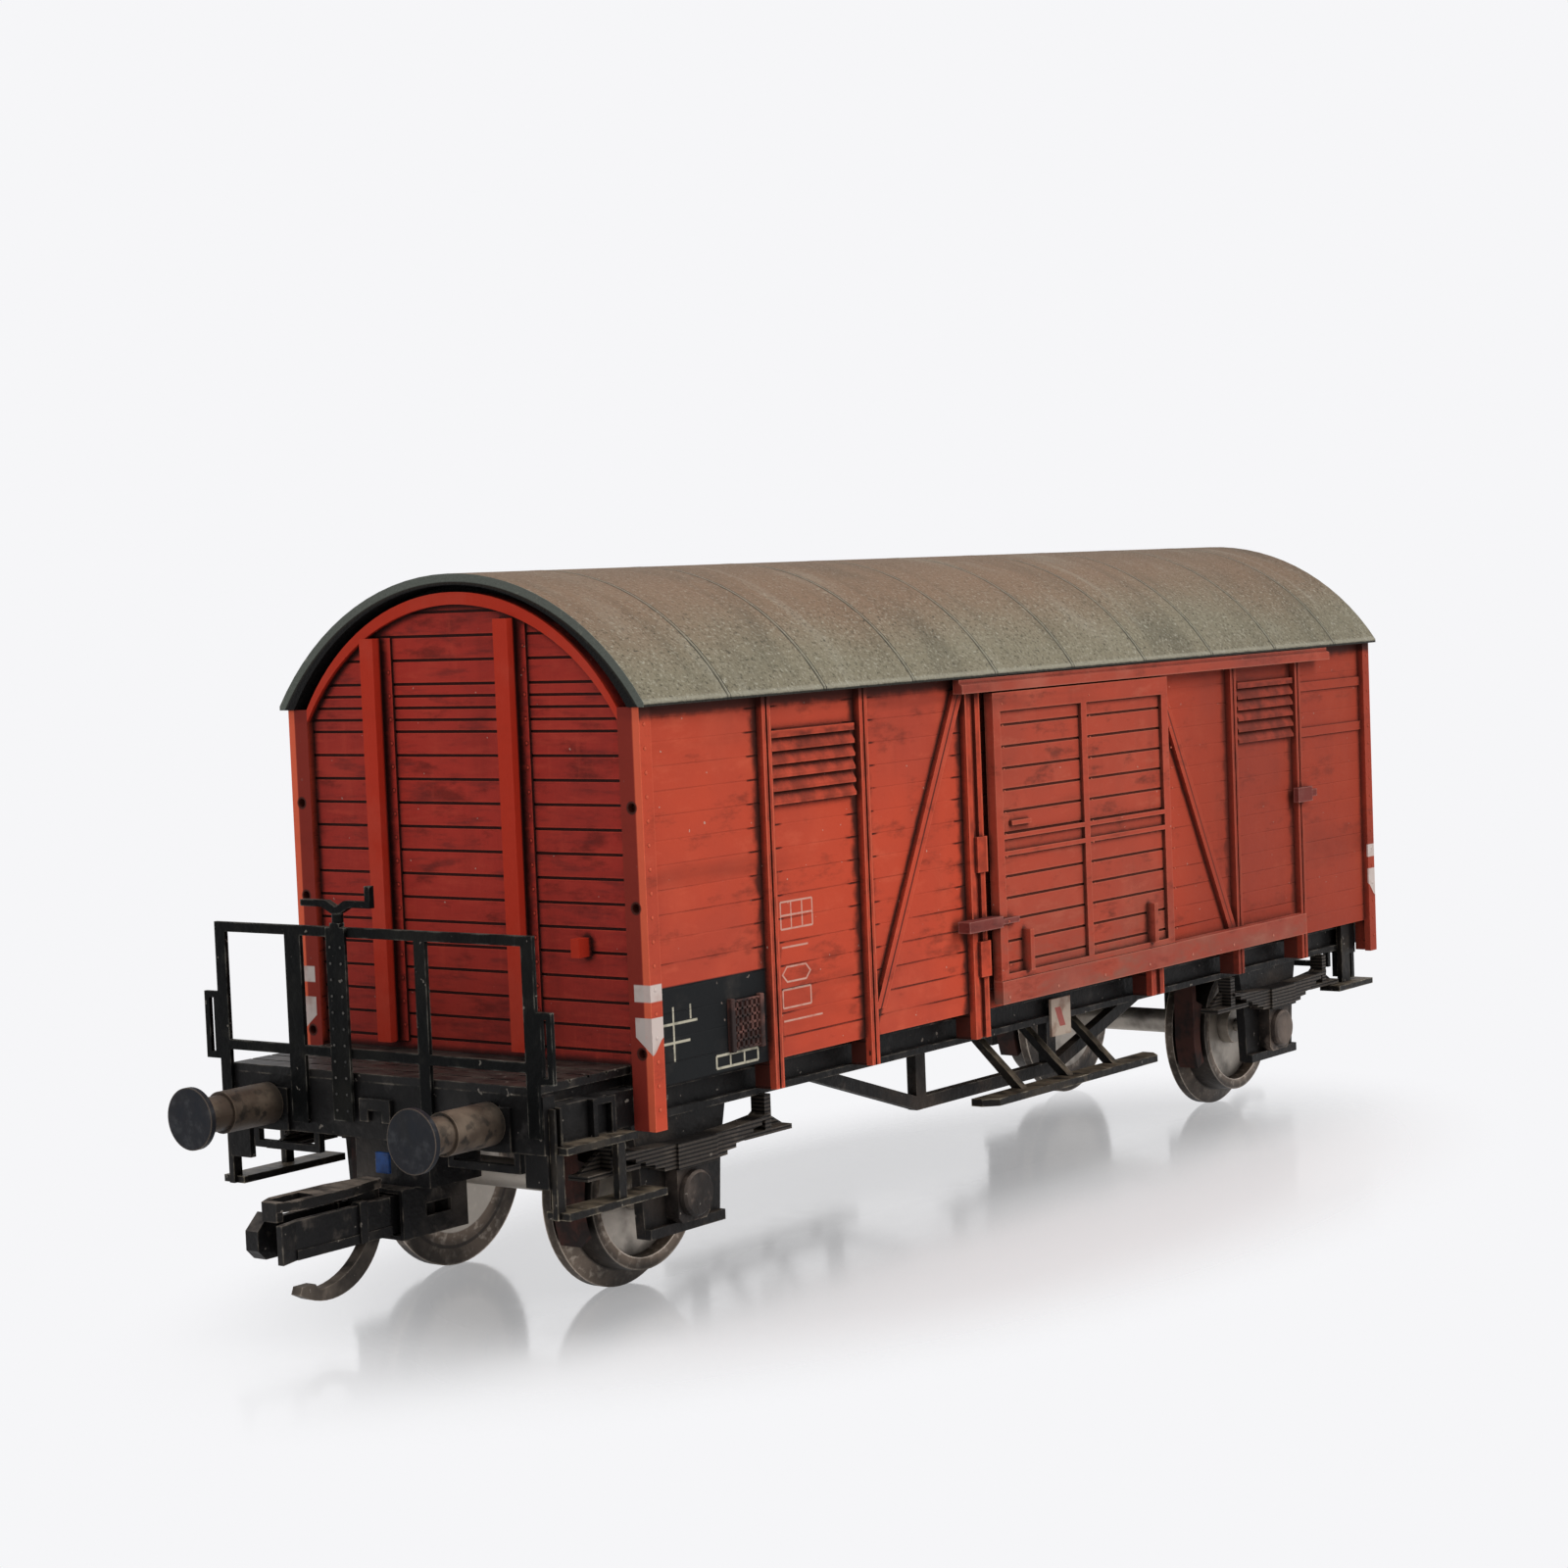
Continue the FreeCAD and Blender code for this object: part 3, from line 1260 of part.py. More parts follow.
def make_leaf_spring(end, axle):
    """Bowed leaves under a wide buckle, hung from two brackets that stand on foot plates."""
    pieces = [box(f"{end}_buckle", (f"{axle} - buckle_half", f"{axle} + buckle_half"),
                  ("-axlebox_face", f"-{GUARD_FACE}"),
                  (f"{AXLE_LEVEL} + axlebox_height / 2", "spring_top"))]
    for leaf in range(6):
        reach = f"(spring_half - leaf_step * {leaf})"
        crown = f"(spring_top - leaf_thickness * {leaf})"
        tip = f"({crown} + spring_rise * ({reach} / spring_half) ^ 2)"
        corners = (
            (f"{axle} - {reach}", tip),
            (f"{axle} - {reach}", f"{tip} - leaf_thickness"),
            (f"{axle} + {reach}", f"{tip} - leaf_thickness", axle, f"{crown} - leaf_thickness"),
            (f"{axle} + {reach}", tip),
        )
        corners = ((f"{axle} - {reach}", tip, axle, crown), *corners[1:])
        pieces.append(plate(f"{end}_leaf_{leaf}", "XZ_Plane", corners,
                            "-spring_front", f"-{GUARD_FACE}"))
    foot_top = "(spring_foot_level + spring_foot_thickness)"
    for side, sign in (("front", "-1"), ("rear", "1")):
        eye = f"({axle} + ({sign}) * spring_half)"
        pieces.append(box(f"{end}_{side}_shackle",
                          (f"{eye} - shackle_width / 2", f"{eye} + shackle_width / 2"),
                          (f"-(sole_bar_face + shackle_top_depth)", f"-{GUARD_FACE}"),
                          (foot_top, "sole_bar_base")))
        bracket = (
            (f"{eye} - spring_foot_half", foot_top),
            (f"{eye} - spring_foot_half", "spring_foot_level"),
            (f"{eye} + spring_foot_half", "spring_foot_level"),
            (f"{eye} + spring_foot_half", foot_top),
            (f"{eye} + shackle_width / 2", f"{foot_top} + spring_foot_rise"),
            (f"{eye} - shackle_width / 2", f"{foot_top} + spring_foot_rise"),
        )
        pieces.append(plate(f"{end}_{side}_bracket", "XZ_Plane", bracket,
                            f"-({GUARD_FACE} + shackle_width / 2)", f"-{GUARD_FACE}"))
        pieces.append(box(f"{end}_{side}_foot",
                          (f"{eye} - spring_foot_half", f"{eye} + spring_foot_half"),
                          (f"-(sole_bar_face + shackle_top_depth)",
                           f"-(sole_bar_face + shackle_top_depth - spring_foot_width)"),
                          ("spring_foot_level", foot_top)))
    both_sides(fused(f"{end}_spring", pieces), f"{end}_spring", f"{end}_{{side}}_leaf_spring")


def make_running_gear():
    """Axle guard, axlebox and leaf spring at each end of both axles."""
    for end, axle in AXLES.items():
        make_axle_guard(end, axle)
        make_axlebox(end, axle)
        make_leaf_spring(end, axle)


def make_brake_shoes():
    """Curved blocks on hangers, before and behind each wheel."""
    inner = "(tread_radius + shoe_gap)"
    outer = f"({inner} + shoe_thickness)"
    rise = "sin(shoe_half_angle)"
    run = "cos(shoe_half_angle)"
    level = AXLE_LEVEL
    shoe_inside = "(wheel_back + flange_thickness * 1.5)"
    for end, axle in AXLES.items():
        shoes = []
        for side, sign in (("front", "-1"), ("rear", "1")):
            corners = (
                (f"{axle} + ({sign}) * {outer} * {run}", f"{level} - {outer} * {rise}"),
                (f"{axle} + ({sign}) * {outer} * {run}", f"{level} + {outer} * {rise}",
                 f"{axle} + ({sign}) * {outer}", level),
                (f"{axle} + ({sign}) * {inner} * {run}", f"{level} + {inner} * {rise}"),
                (f"{axle} + ({sign}) * {inner} * {run}", f"{level} - {inner} * {rise}",
                 f"{axle} + ({sign}) * {inner}", level),
            )
            block = plate(f"{end}_{side}_shoe", "XZ_Plane", corners,
                          f"-({shoe_inside} + shoe_width)", f"-{shoe_inside}")
            edges = sorted((f"{axle} + ({sign}) * {outer}",
                            f"{axle} + ({sign}) * ({outer} - brake_hanger)"), key=number)
            hanger = box(f"{end}_{side}_hanger", tuple(edges),
                         (f"-({shoe_inside} + shoe_width)", f"-{shoe_inside}"),
                         (level, "sill_height"))
            shoe = fused(f"{end}_{side}_brake", [block, hanger])
            shoes += [shoe, mirrored(f"{end}_{side}_left_brake", shoe, ACROSS)]
        node(grouped(f"{end}_shoes", shoes), f"{end}_brake_shoes")


def make_trusses():
    """A trussed bar with two posts below each sole bar."""
    top = PAN_BASE
    corners = (
        ("-truss_half_foot", top),
        ("-truss_half_chord", "truss_base"),
        ("truss_half_chord", "truss_base"),
        ("truss_half_foot", top),
        ("truss_half_foot - truss_toe", top),
        ("truss_half_chord - truss_bar / 6", "truss_base + truss_bar"),
        ("-(truss_half_chord - truss_bar / 6)", "truss_base + truss_bar"),
        ("-(truss_half_foot - truss_toe)", top),
    )
    across = ("-(truss_place + truss_thickness / 2)", "-(truss_place - truss_thickness / 2)")
    pieces = [plate("truss_bars", "XZ_Plane", corners, *across)]
    for index, sign in enumerate(("-1", "1")):
        middle = f"({sign}) * (truss_half_chord - truss_bar / 2)"
        pieces.append(box(f"truss_post_{index}",
                          (f"{middle} - truss_bar * 0.65", f"{middle} + truss_bar * 0.65"),
                          across, ("truss_base", top)))
    both_sides(fused("truss", pieces), "truss", "{side}_truss_rod")


# ---------------------------------------------------------------- steps

def make_footboards():
    """A long board below each door on three slanting straps."""
    middle = f"({DOOR_LEFT} + door_width / 2)"
    top = "(footboard_level + footboard_thickness)"
    left, right = f"({middle} - footboard_length / 2)", f"({middle} + footboard_length / 2)"
    inner = "(footboard_edge - footboard_width)"
    plan = (
        (left, "-(footboard_edge - footboard_chamfer)"),
        (f"{left} + footboard_chamfer", "-footboard_edge"),
        (f"{right} - footboard_chamfer", "-footboard_edge"),
        (right, "-(footboard_edge - footboard_chamfer)"),
        (right, f"-{inner}"),
        (left, f"-{inner}"),
    )
    board = plate("footboard", "XY_Plane", plan, "footboard_level", top)
    strap_foot = "(footboard_edge - footboard_width / 2)"
    corners = (
        (f"-{strap_foot}", top),
        (f"-({strap_foot} - strap_thickness * 2)", top),
        ("-strap_head", PAN_BASE),
        ("-(strap_head + strap_thickness * 1.5)", PAN_BASE),
    )
    straps = []
    for index in range(-1, 2):
        place = f"({middle} + footboard_strap_pitch * {index})"
        straps.append(plate(f"footboard_strap_{index + 1}", "YZ_Plane", corners,
                            f"{place} - strap_width / 2", f"{place} + strap_width / 2"))
    board_with_straps = fused("footboard_parts", [board, *straps])
    node(board_with_straps, "right_footboard")
    node(opposite_hand("other_footboard", board_with_straps), "left_footboard")


def make_platform_steps():
    """Two boards one above the other on two flat hangers, at each side of the platform."""
    inner = "(step_edge - step_width)"
    left = f"({BEAM_FRONT} + step_start)"
    pieces = []
    for name, length in (("upper", "upper_step_length"), ("lower", "lower_step_length")):
        level = f"{name}_step_level"
        pieces.append(box(f"{name}_step", (left, f"{left} + {length}"),
                          ("-step_edge", f"-{inner}"), (level, f"{level} + step_thickness")))
    shackle = f"({AXLES['front']} - spring_half)"
    notches = fused("upper_step_notches", [
        box("beam_notch", (BEAM_FRONT, f"{BEAM_FRONT} + beam_depth"),
            ("-beam_width / 2", f"-{inner}"), ("beam_base", "deck_base")),
        box("shackle_notch", (f"{shackle} - shackle_width / 2", f"{shackle} + shackle_width / 2"),
            ("-(sole_bar_face + shackle_top_depth)", f"-{inner}"),
            ("upper_step_level", "sole_bar_base")),
    ])
    pieces[0] = cut("upper_step_notched", pieces[0], notches)
    hanger_front = f"({BEAM_FRONT} + step_hanger_front)"
    behind_beam = ("-(beam_width / 2 + strap_thickness)", "-beam_width / 2")
    half = "strap_width / 2"
    for side, low, high in (("front", f"-{half}", f"-{half} / 2"), ("rear", f"{half} / 2", half)):
        pieces.append(box(f"step_hanger_{side}_bar",
                          (f"{hanger_front} + {low}", f"{hanger_front} + {high}"),
                          behind_beam, ("upper_step_level", "sill_height")))
    pieces.append(box("step_hanger_foot", (f"{hanger_front} - {half}", f"{hanger_front} + {half}"),
                      behind_beam, ("lower_step_level", "upper_step_level")))
    hanger_rear = f"({BEAM_FRONT} + step_hanger_rear)"
    outside = "(step_edge - strap_thickness / 2)"
    pieces.append(box("step_hanger_rear_bar",
                      (f"{hanger_rear} - {half}", f"{hanger_rear} + {half}"),
                      (f"-{outside}", f"-({outside} - strap_thickness)"),
                      ("lower_step_level", "upper_step_level")))
    both_sides(fused("platform_steps", pieces), "platform_steps", "{side}_platform_steps")


def make_rear_steps():
    """A short board on one hanger at each rear corner."""
    inner = "(step_edge - step_width)"
    right = f"({BEAM_REAR} + rear_step_overhang)"
    spot = f"({BEAM_REAR} - rear_hanger_inset)"
    pieces = [
        box("rear_step", (f"{right} - rear_step_length", right), ("-step_edge", f"-{inner}"),
            ("rear_step_level", "rear_step_level + step_thickness")),
        box("rear_step_hanger", (f"{spot} - strap_width", f"{spot} + strap_width"),
            ("-(sole_bar_face + strap_thickness)", "-sole_bar_face"),
            ("rear_step_level", "sill_height")),
    ]
    both_sides(fused("rear_steps", pieces), "rear_steps", "rear_{side}_step")


# ---------------------------------------------------------------- couplers

def ahead(distance):
    """Give a place a distance in front of the front beam."""
    return f"({BEAM_FRONT} - ({distance}))"


COUPLER_TOP = "(coupler_base + coupler_height)"


def make_coupler_pocket():
    """A box below the frame, open ahead, with a pivot pin and a slot in each cheek."""
    base = "(coupler_base - pocket_clearance - pocket_wall)"
    top = f"({COUPLER_TOP} + pocket_clearance + pocket_wall)"
    rear = f"({BEAM_FRONT} + pocket_rear)"
    front = ahead("pocket_front")
    pivot = f"({BEAM_FRONT} + coupler_pivot_inset)"
    shell = new_body("pocket_shell")
    padded(shell, "pocket_pad", "XZ_Plane", rectangle(front, rear, base, top),
           "-pocket_half", "pocket_half")
    document.recompute()
    inside_half = "(pocket_half - pocket_wall)"
    pocket_of(shell, "pocket_mouth", "XZ_Plane", f"-{inside_half}", inside_half,
              lambda sketch: outline(sketch, rectangle(
                  f"{front} - 1", f"{rear} - pocket_wall",
                  f"{base} + pocket_wall", f"{top} - pocket_wall")))
    document.recompute()
    middle = "(coupler_base + coupler_height / 2)"
    pocket_of(shell, "pocket_slot", "XZ_Plane", "-pocket_half", "pocket_half",
              lambda sketch: outline(sketch, rectangle(
                  f"{pivot} - pocket_slot_height / 2", f"{pivot} + pocket_slot_length",
                  f"{middle} - pocket_slot_height / 2", f"{middle} + pocket_slot_height / 2")))
    pin = document.addObject("Part::Cylinder", "coupler_pin")
    pin.setExpression("Radius", bound("pivot_radius"))
    pin.setExpression("Height", bound(f"{top} - {base}"))
    pin.setExpression("Placement.Base.x", bound(pivot))
    pin.setExpression("Placement.Base.z", bound(base))
    stalk = box("pocket_stalk", (f"{BEAM_FRONT} + beam_depth", rear),
                ("-stalk_half", "stalk_half"), (top, PAN_BASE))
    return fused("coupler_pocket", [shell, pin, stalk])


def make_coupler_head():
    """A shank with a flared jaw and a nose, slotted for the loop and drilled for the pivot."""
    tip = ahead("coupler_tip")
    shank = ahead("shank_front")
    slot_front, slot_rear = ahead("tail_slot_front"), ahead("tail_slot_rear")
    pivot = f"({BEAM_FRONT} + coupler_pivot_inset)"
    heel = f"({pivot} + pivot_radius * 3)"
    tongue_front = ahead("tongue_front")
    plan = (
        (shank, "coupler_half"),
        (tongue_front, "coupler_half"),
        (tongue_front, "tongue_half"),
        (heel, "tongue_half"),
        (heel, "-tongue_half"),
        (tongue_front, "-tongue_half"),
        (tongue_front, "-coupler_half"),
        (shank, "-coupler_half"),
        (tip, "-(coupler_half + jaw_flare)"),
        (tip, "-(coupler_half + jaw_flare - coupler_wall)"),
        (f"{shank} + coupler_wall", "-(coupler_half - coupler_wall)"),
        (f"{shank} + coupler_wall", "coupler_half - coupler_wall"),
        (shank, "coupler_half - coupler_wall"),
    )
    head = new_body("coupler_head_shape")
    padded(head, "head_pad", "XY_Plane", plan, "coupler_base", COUPLER_TOP)
    document.recompute()

    def slot_and_pivot(sketch):
        outline(sketch, rectangle(slot_front, slot_rear, "-(tail_width / 2 + pocket_clearance)",
                                  "tail_width / 2 + pocket_clearance"))
        circle(sketch, (pivot, "0"), "pivot_radius + pocket_clearance / 2")

    pocket_of(head, "head_slot", "XY_Plane", "coupler_base", COUPLER_TOP, slot_and_pivot)
    document.recompute()
    pocket_of(head, "head_trough", "XY_Plane", f"{COUPLER_TOP} - trough_depth", COUPLER_TOP,
              lambda sketch: outline(sketch, rectangle(
                  f"{shank} + coupler_wall", slot_front,
                  "-(coupler_half - coupler_wall)", "coupler_half - coupler_wall")))
    nose_front, nose_rear = ahead("nose_front"), ahead("nose_rear")
    slope = "(nose_outer - nose_inner)"
    nose = plate("coupler_nose", "XZ_Plane", (
        (nose_front, "coupler_base + ledge_height"),
        (nose_front, f"{COUPLER_TOP} - ledge_height"),
        (f"{nose_front} + {slope}", "coupler_base + nose_height"),
        (nose_rear, COUPLER_TOP),
        (nose_rear, "coupler_base"),
        (f"{nose_front} + ledge_height", "coupler_base"),
    ), "nose_inner", "nose_outer")
    pieces = [head, nose]
    for side, sign in (("right", "-"), ("left", "")):
        inner = f"{sign}(coupler_half - coupler_wall)"
        collar = sorted((inner, f"{sign}(coupler_half + collar_proud)"), key=number)
        collar_span = (ahead("collar_front"), ahead("collar_front - collar_length"))
        pieces.append(box(f"{side}_collar", collar_span, tuple(collar),
                          ("coupler_base", f"{COUPLER_TOP} + collar_proud")))
        ledge = sorted((inner, f"{sign}(coupler_half + ledge_proud)"), key=number)
        pieces.append(box(f"{side}_ledge", (shank, tongue_front), tuple(ledge),
                          ("coupler_base", "coupler_base + ledge_height")))
    return pieces


def make_hinge_pin():
    """The cross pin that carries the loop."""
    pin = document.addObject("Part::Cylinder", "loop_pin")
    pin.setExpression("Radius", bound("loop_pin_radius"))
    pin.setExpression("Height", bound("2 * coupler_half"))
    pin.Placement = FreeCAD.Placement(FreeCAD.Vector(), FreeCAD.Rotation(ALONG, -90))
    pin.setExpression("Placement.Base.x", bound(ahead("loop_pin_place")))
    pin.setExpression("Placement.Base.y", bound("-coupler_half"))
    pin.setExpression("Placement.Base.z", bound("loop_pin_level"))
    return pin


def make_coupler_loop():
    """A strap with an eye over the jaws, and a curved tail that hangs through the slot."""
    lug_front, lug_rear = ahead("lug_front"), ahead("lug_rear")
    half = "(tail_width / 2)"
    lug = new_body("loop_lug")
    tail = (
        (lug_rear, "coupler_base", ahead("tail_bend_place"), "tail_bend_outer"),
        (lug_rear, "loop_level"),
        (lug_front, "loop_level"),
        (lug_front, "coupler_base"),
        (ahead("tail_root_front"), "coupler_base"),
        (ahead("knob_rear"), "knob_rear_level", ahead("tail_bend_place"), "tail_bend_inner"),
        (ahead("knob_shoulder"), "knob_top"),
        (ahead("knob_front"), "knob_top"),
        (ahead("tail_reach"), "knob_nose"),
        (ahead("knob_under"), "knob_base"),
    )
    padded(lug, "loop_lug_pad", "XZ_Plane", tail, f"-{half}", half)
    document.recompute()
    pocket_of(lug, "loop_pin_hole", "XZ_Plane", f"-{half}", half,
              lambda sketch: circle(sketch, (ahead("loop_pin_place"), "loop_pin_level"),
                                    "loop_pin_radius + pocket_clearance / 2"))
    strap = new_body("loop_strap")
    tip = ahead("loop_tip")
    shoulder = ahead("loop_tip - loop_taper")
    heel = ahead("lug_front + loop_taper")
    plan = (
        (lug_rear, "loop_half / 2"),
        (lug_rear, "-loop_half / 2"),
        (heel, "-loop_half"),
        (shoulder, "-loop_half"),
        (tip, "-loop_half / 2"),
        (tip, "loop_half / 2"),
        (shoulder, "loop_half"),
        (heel, "loop_half"),
    )
    strap_top = "(loop_level + loop_bar_height)"
    padded(strap, "loop_strap_pad", "XY_Plane", plan, "loop_level", strap_top)
    document.recompute()
    pocket_of(strap, "loop_eye", "XY_Plane", "loop_level", strap_top,
              lambda sketch: outline(sketch, rectangle(
                  ahead("loop_tip - loop_bar_width"), ahead("loop_tip - loop_eye_length"),
                  "-(loop_half - loop_bar_width)", "loop_half - loop_bar_width")))
    lip = box("loop_lip", (tip, f"{tip} + loop_bar_width"), ("-loop_half / 2", "loop_half / 2"),
              ("loop_level - loop_lip_drop", "loop_level"))
    return fused("coupler_loop", [lug, strap, lip])


def make_couplers():
    """Pocket, swinging head and lifting loop at both ends."""
    head = fused("coupler_head", [*make_coupler_head(), make_hinge_pin()])
    for piece, label in (
        (make_coupler_pocket(), "coupler_pocket"),
        (head, "coupler_head"),
        (make_coupler_loop(), "coupler_loop"),
    ):
        node(piece, f"front_{label}")
        node(mirrored(f"rear_{label}_copy", piece, ALONG), f"rear_{label}")


# ---------------------------------------------------------------- small plates

def make_label_plates():
    """A blank plate on each sole bar."""
    left = f"({DOOR_LEFT} + plate_inset)"
    plate_box = box("label_plate", (left, f"{left} + plate_width"),
                    ("-(sole_bar_face + plate_thickness)", "-sole_bar_face"),
                    ("sill_height - plate_drop - plate_height", "sill_height - plate_drop"))
    node(plate_box, "right_label_plate")
    node(opposite_hand("other_label_plate", plate_box), "left_label_plate")


make_roof()
make_end_walls()
make_side_walls()
make_doors()
make_door_rails()
make_door_fittings()
make_floor()
make_chassis()
make_buffer_beams()
make_buffers()
make_platform()
make_wheelsets()
make_running_gear()
make_brake_shoes()
make_trusses()
make_footboards()
make_platform_steps()
make_rear_steps()
make_couplers()
make_label_plates()
document.recompute()

for item in document.Objects:
    if "Invalid" in item.State or "Error" in item.State:
        raise RuntimeError(f"{item.Name} did not build: {item.State}")

os.makedirs("parts", exist_ok=True)
for piece in nodes:
    if piece.Shape.isNull() or not piece.Shape.isValid():
        raise RuntimeError(f"{piece.Label} has no valid shape")
    piece.Shape.exportStep(f"parts/{piece.Label}.step")
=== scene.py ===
"""Looks of a small model covered goods wagon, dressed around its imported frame.

Sizes are in metres in the frame's own axes: +X along the wagon away from the brake
platform, +Y to its left, +Z up from the rails.
"""

import logging
import math
from dataclasses import dataclass
from enum import Enum
from functools import reduce
from typing import Any, Optional, Sequence, Union

import bmesh
import bpy
from mathutils import Matrix, Vector

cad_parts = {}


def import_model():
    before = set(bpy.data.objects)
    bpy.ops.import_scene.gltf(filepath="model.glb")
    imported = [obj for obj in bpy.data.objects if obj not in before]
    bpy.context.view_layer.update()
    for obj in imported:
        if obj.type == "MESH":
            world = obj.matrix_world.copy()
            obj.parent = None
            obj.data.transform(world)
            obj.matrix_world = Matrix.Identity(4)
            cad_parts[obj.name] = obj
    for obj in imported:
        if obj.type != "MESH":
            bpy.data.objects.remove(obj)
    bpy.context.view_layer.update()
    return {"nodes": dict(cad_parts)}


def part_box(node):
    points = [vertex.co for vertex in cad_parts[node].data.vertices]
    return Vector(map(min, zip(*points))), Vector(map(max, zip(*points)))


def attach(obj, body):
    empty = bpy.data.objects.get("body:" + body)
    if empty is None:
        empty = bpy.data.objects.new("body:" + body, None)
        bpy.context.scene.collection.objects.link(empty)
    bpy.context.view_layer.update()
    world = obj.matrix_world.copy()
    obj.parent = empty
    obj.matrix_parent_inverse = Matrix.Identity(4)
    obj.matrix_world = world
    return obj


log = logging.getLogger("goods_wagon")

MM = 0.001
Colour = tuple[float, float, float]
Point = tuple[float, float, float]
Pair = tuple[float, float]
Nodes = dict[str, bpy.types.Object]
DUST: Colour = (0.22, 0.115, 0.085)
PALE_CHIP: Colour = (0.55, 0.40, 0.33)
SHADED_RED: Colour = (0.20, 0.040, 0.026)


# ---------------------------------------------------------------- node trees

class Wire:
    """A value or colour on its way between nodes, written as Python arithmetic."""

    def __init__(self, tree: "Tree", socket: bpy.types.NodeSocket) -> None:
        """Hold one output socket of a tree."""
        self.tree = tree
        self.socket = socket

    def _math(self, operation: str, *values: Any) -> "Wire":
        """Add a Math node."""
        return self.tree.add("Math", {"operation": operation}, dict(enumerate(values)))

    def __add__(self, other: Any) -> "Wire":
        """Add a value."""
        return self._math("ADD", self, other)

    __radd__ = __add__

    def __sub__(self, other: Any) -> "Wire":
        """Take a value away."""
        return self._math("SUBTRACT", self, other)

    def __rsub__(self, other: Any) -> "Wire":
        """Take this away from a value."""
        return self._math("SUBTRACT", other, self)

    def __mul__(self, other: Any) -> "Wire":
        """Multiply by a value."""
        return self._math("MULTIPLY", self, other)

    __rmul__ = __mul__

    def __truediv__(self, other: Any) -> "Wire":
        """Divide by a value."""
        return self._math("DIVIDE", self, other)

    def __abs__(self) -> "Wire":
        """Drop the sign."""
        return self._math("ABSOLUTE", self)

    def __gt__(self, other: Any) -> "Wire":
        """Give 1 where this is the larger."""
        return self._math("GREATER_THAN", self, other)

    def __lt__(self, other: Any) -> "Wire":
        """Give 1 where this is the smaller."""
        return self._math("LESS_THAN", self, other)

    def most(self, other: Any) -> "Wire":
        """Give the larger of two values."""
        return self._math("MAXIMUM", self, other)

    def least(self, other: Any) -> "Wire":
        """Give the smaller of two values."""
        return self._math("MINIMUM", self, other)

    def diagonal(self, other: "Wire") -> "Wire":
        """Give the diagonal of a rectangle with these two sides."""
        return self._math("SQRT", self * self + other * other)

    def wrapped(self, pitch: float) -> "Wire":
        """Give the distance from the nearest multiple of a pitch."""
        return self._math("PINGPONG", self, pitch / 2)

    def ramp(self, low: float, high: float, start: float = 0.0, end: float = 1.0) -> "Wire":
        """Ease from start to end as this goes from low to high.

        Args:
            low: the value at which the result is start.
            high: the value at which the result is end.
            start: the result below low.
            end: the result above high.

        Returns:
            The eased value.
        """
        return self.tree.add(
            "MapRange",
            {"interpolation_type": "SMOOTHSTEP"},
            {"Value": self, "From Min": low, "From Max": high, "To Min": start, "To Max": end},
        )

    def between(self, low: float, high: float, soft: float = 0.02 * MM) -> "Wire":
        """Give 1 between two values, with soft edges."""
        return self.ramp(low - soft, low + soft) * self.ramp(high - soft, high + soft, 1.0, 0.0)

    def near(self, place: float, half: float) -> "Wire":
        """Give 1 within half a line's width of a place, with soft edges."""
        return self.between(place - half, place + half)


class Tree:
    """A node tree to which one method adds any node."""

    def __init__(self, tree: bpy.types.NodeTree, prefix: str) -> None:
        """Start from an empty tree.

        Args:
            tree: the tree to fill.
            prefix: what the type names of its nodes begin with.
        """
        self.tree = tree
        self.prefix = prefix
        tree.nodes.clear()

    def add(
        self,
        kind: str,
        settings: Optional[dict[str, Any]] = None,
        values: Optional[dict[Union[str, int], Any]] = None,
        output: Union[str, int] = 0,
    ) -> Wire:
        """Add a node.

        Args:
            kind: the node's type, without the tree's prefix.
            settings: the node's own settings, set first.
            values: what its sockets hold or are joined to, by name or number.
            output: the output to give back, by name or number.

        Returns:
            The chosen output.
        """
        node = self.tree.nodes.new(self.prefix + kind)
        for name, setting in (settings or {}).items():
            setattr(node, name, setting)
        for name, value in (values or {}).items():
            self._feed(node.inputs[name], value)
        return Wire(self, node.outputs[output] if node.outputs else None)

    def _feed(self, socket: bpy.types.NodeSocket, value: Any) -> None:
        """Join a socket to a wire, or set what it holds.

        Args:
            socket: the socket.
            value: a wire, or a value of the socket's own kind.
        """
        if isinstance(value, Wire):
            self.tree.links.new(value.socket, socket)
        elif socket.type == "RGBA" and len(value) == 3:
            socket.default_value = (*value, 1.0)
        else:
            socket.default_value = value


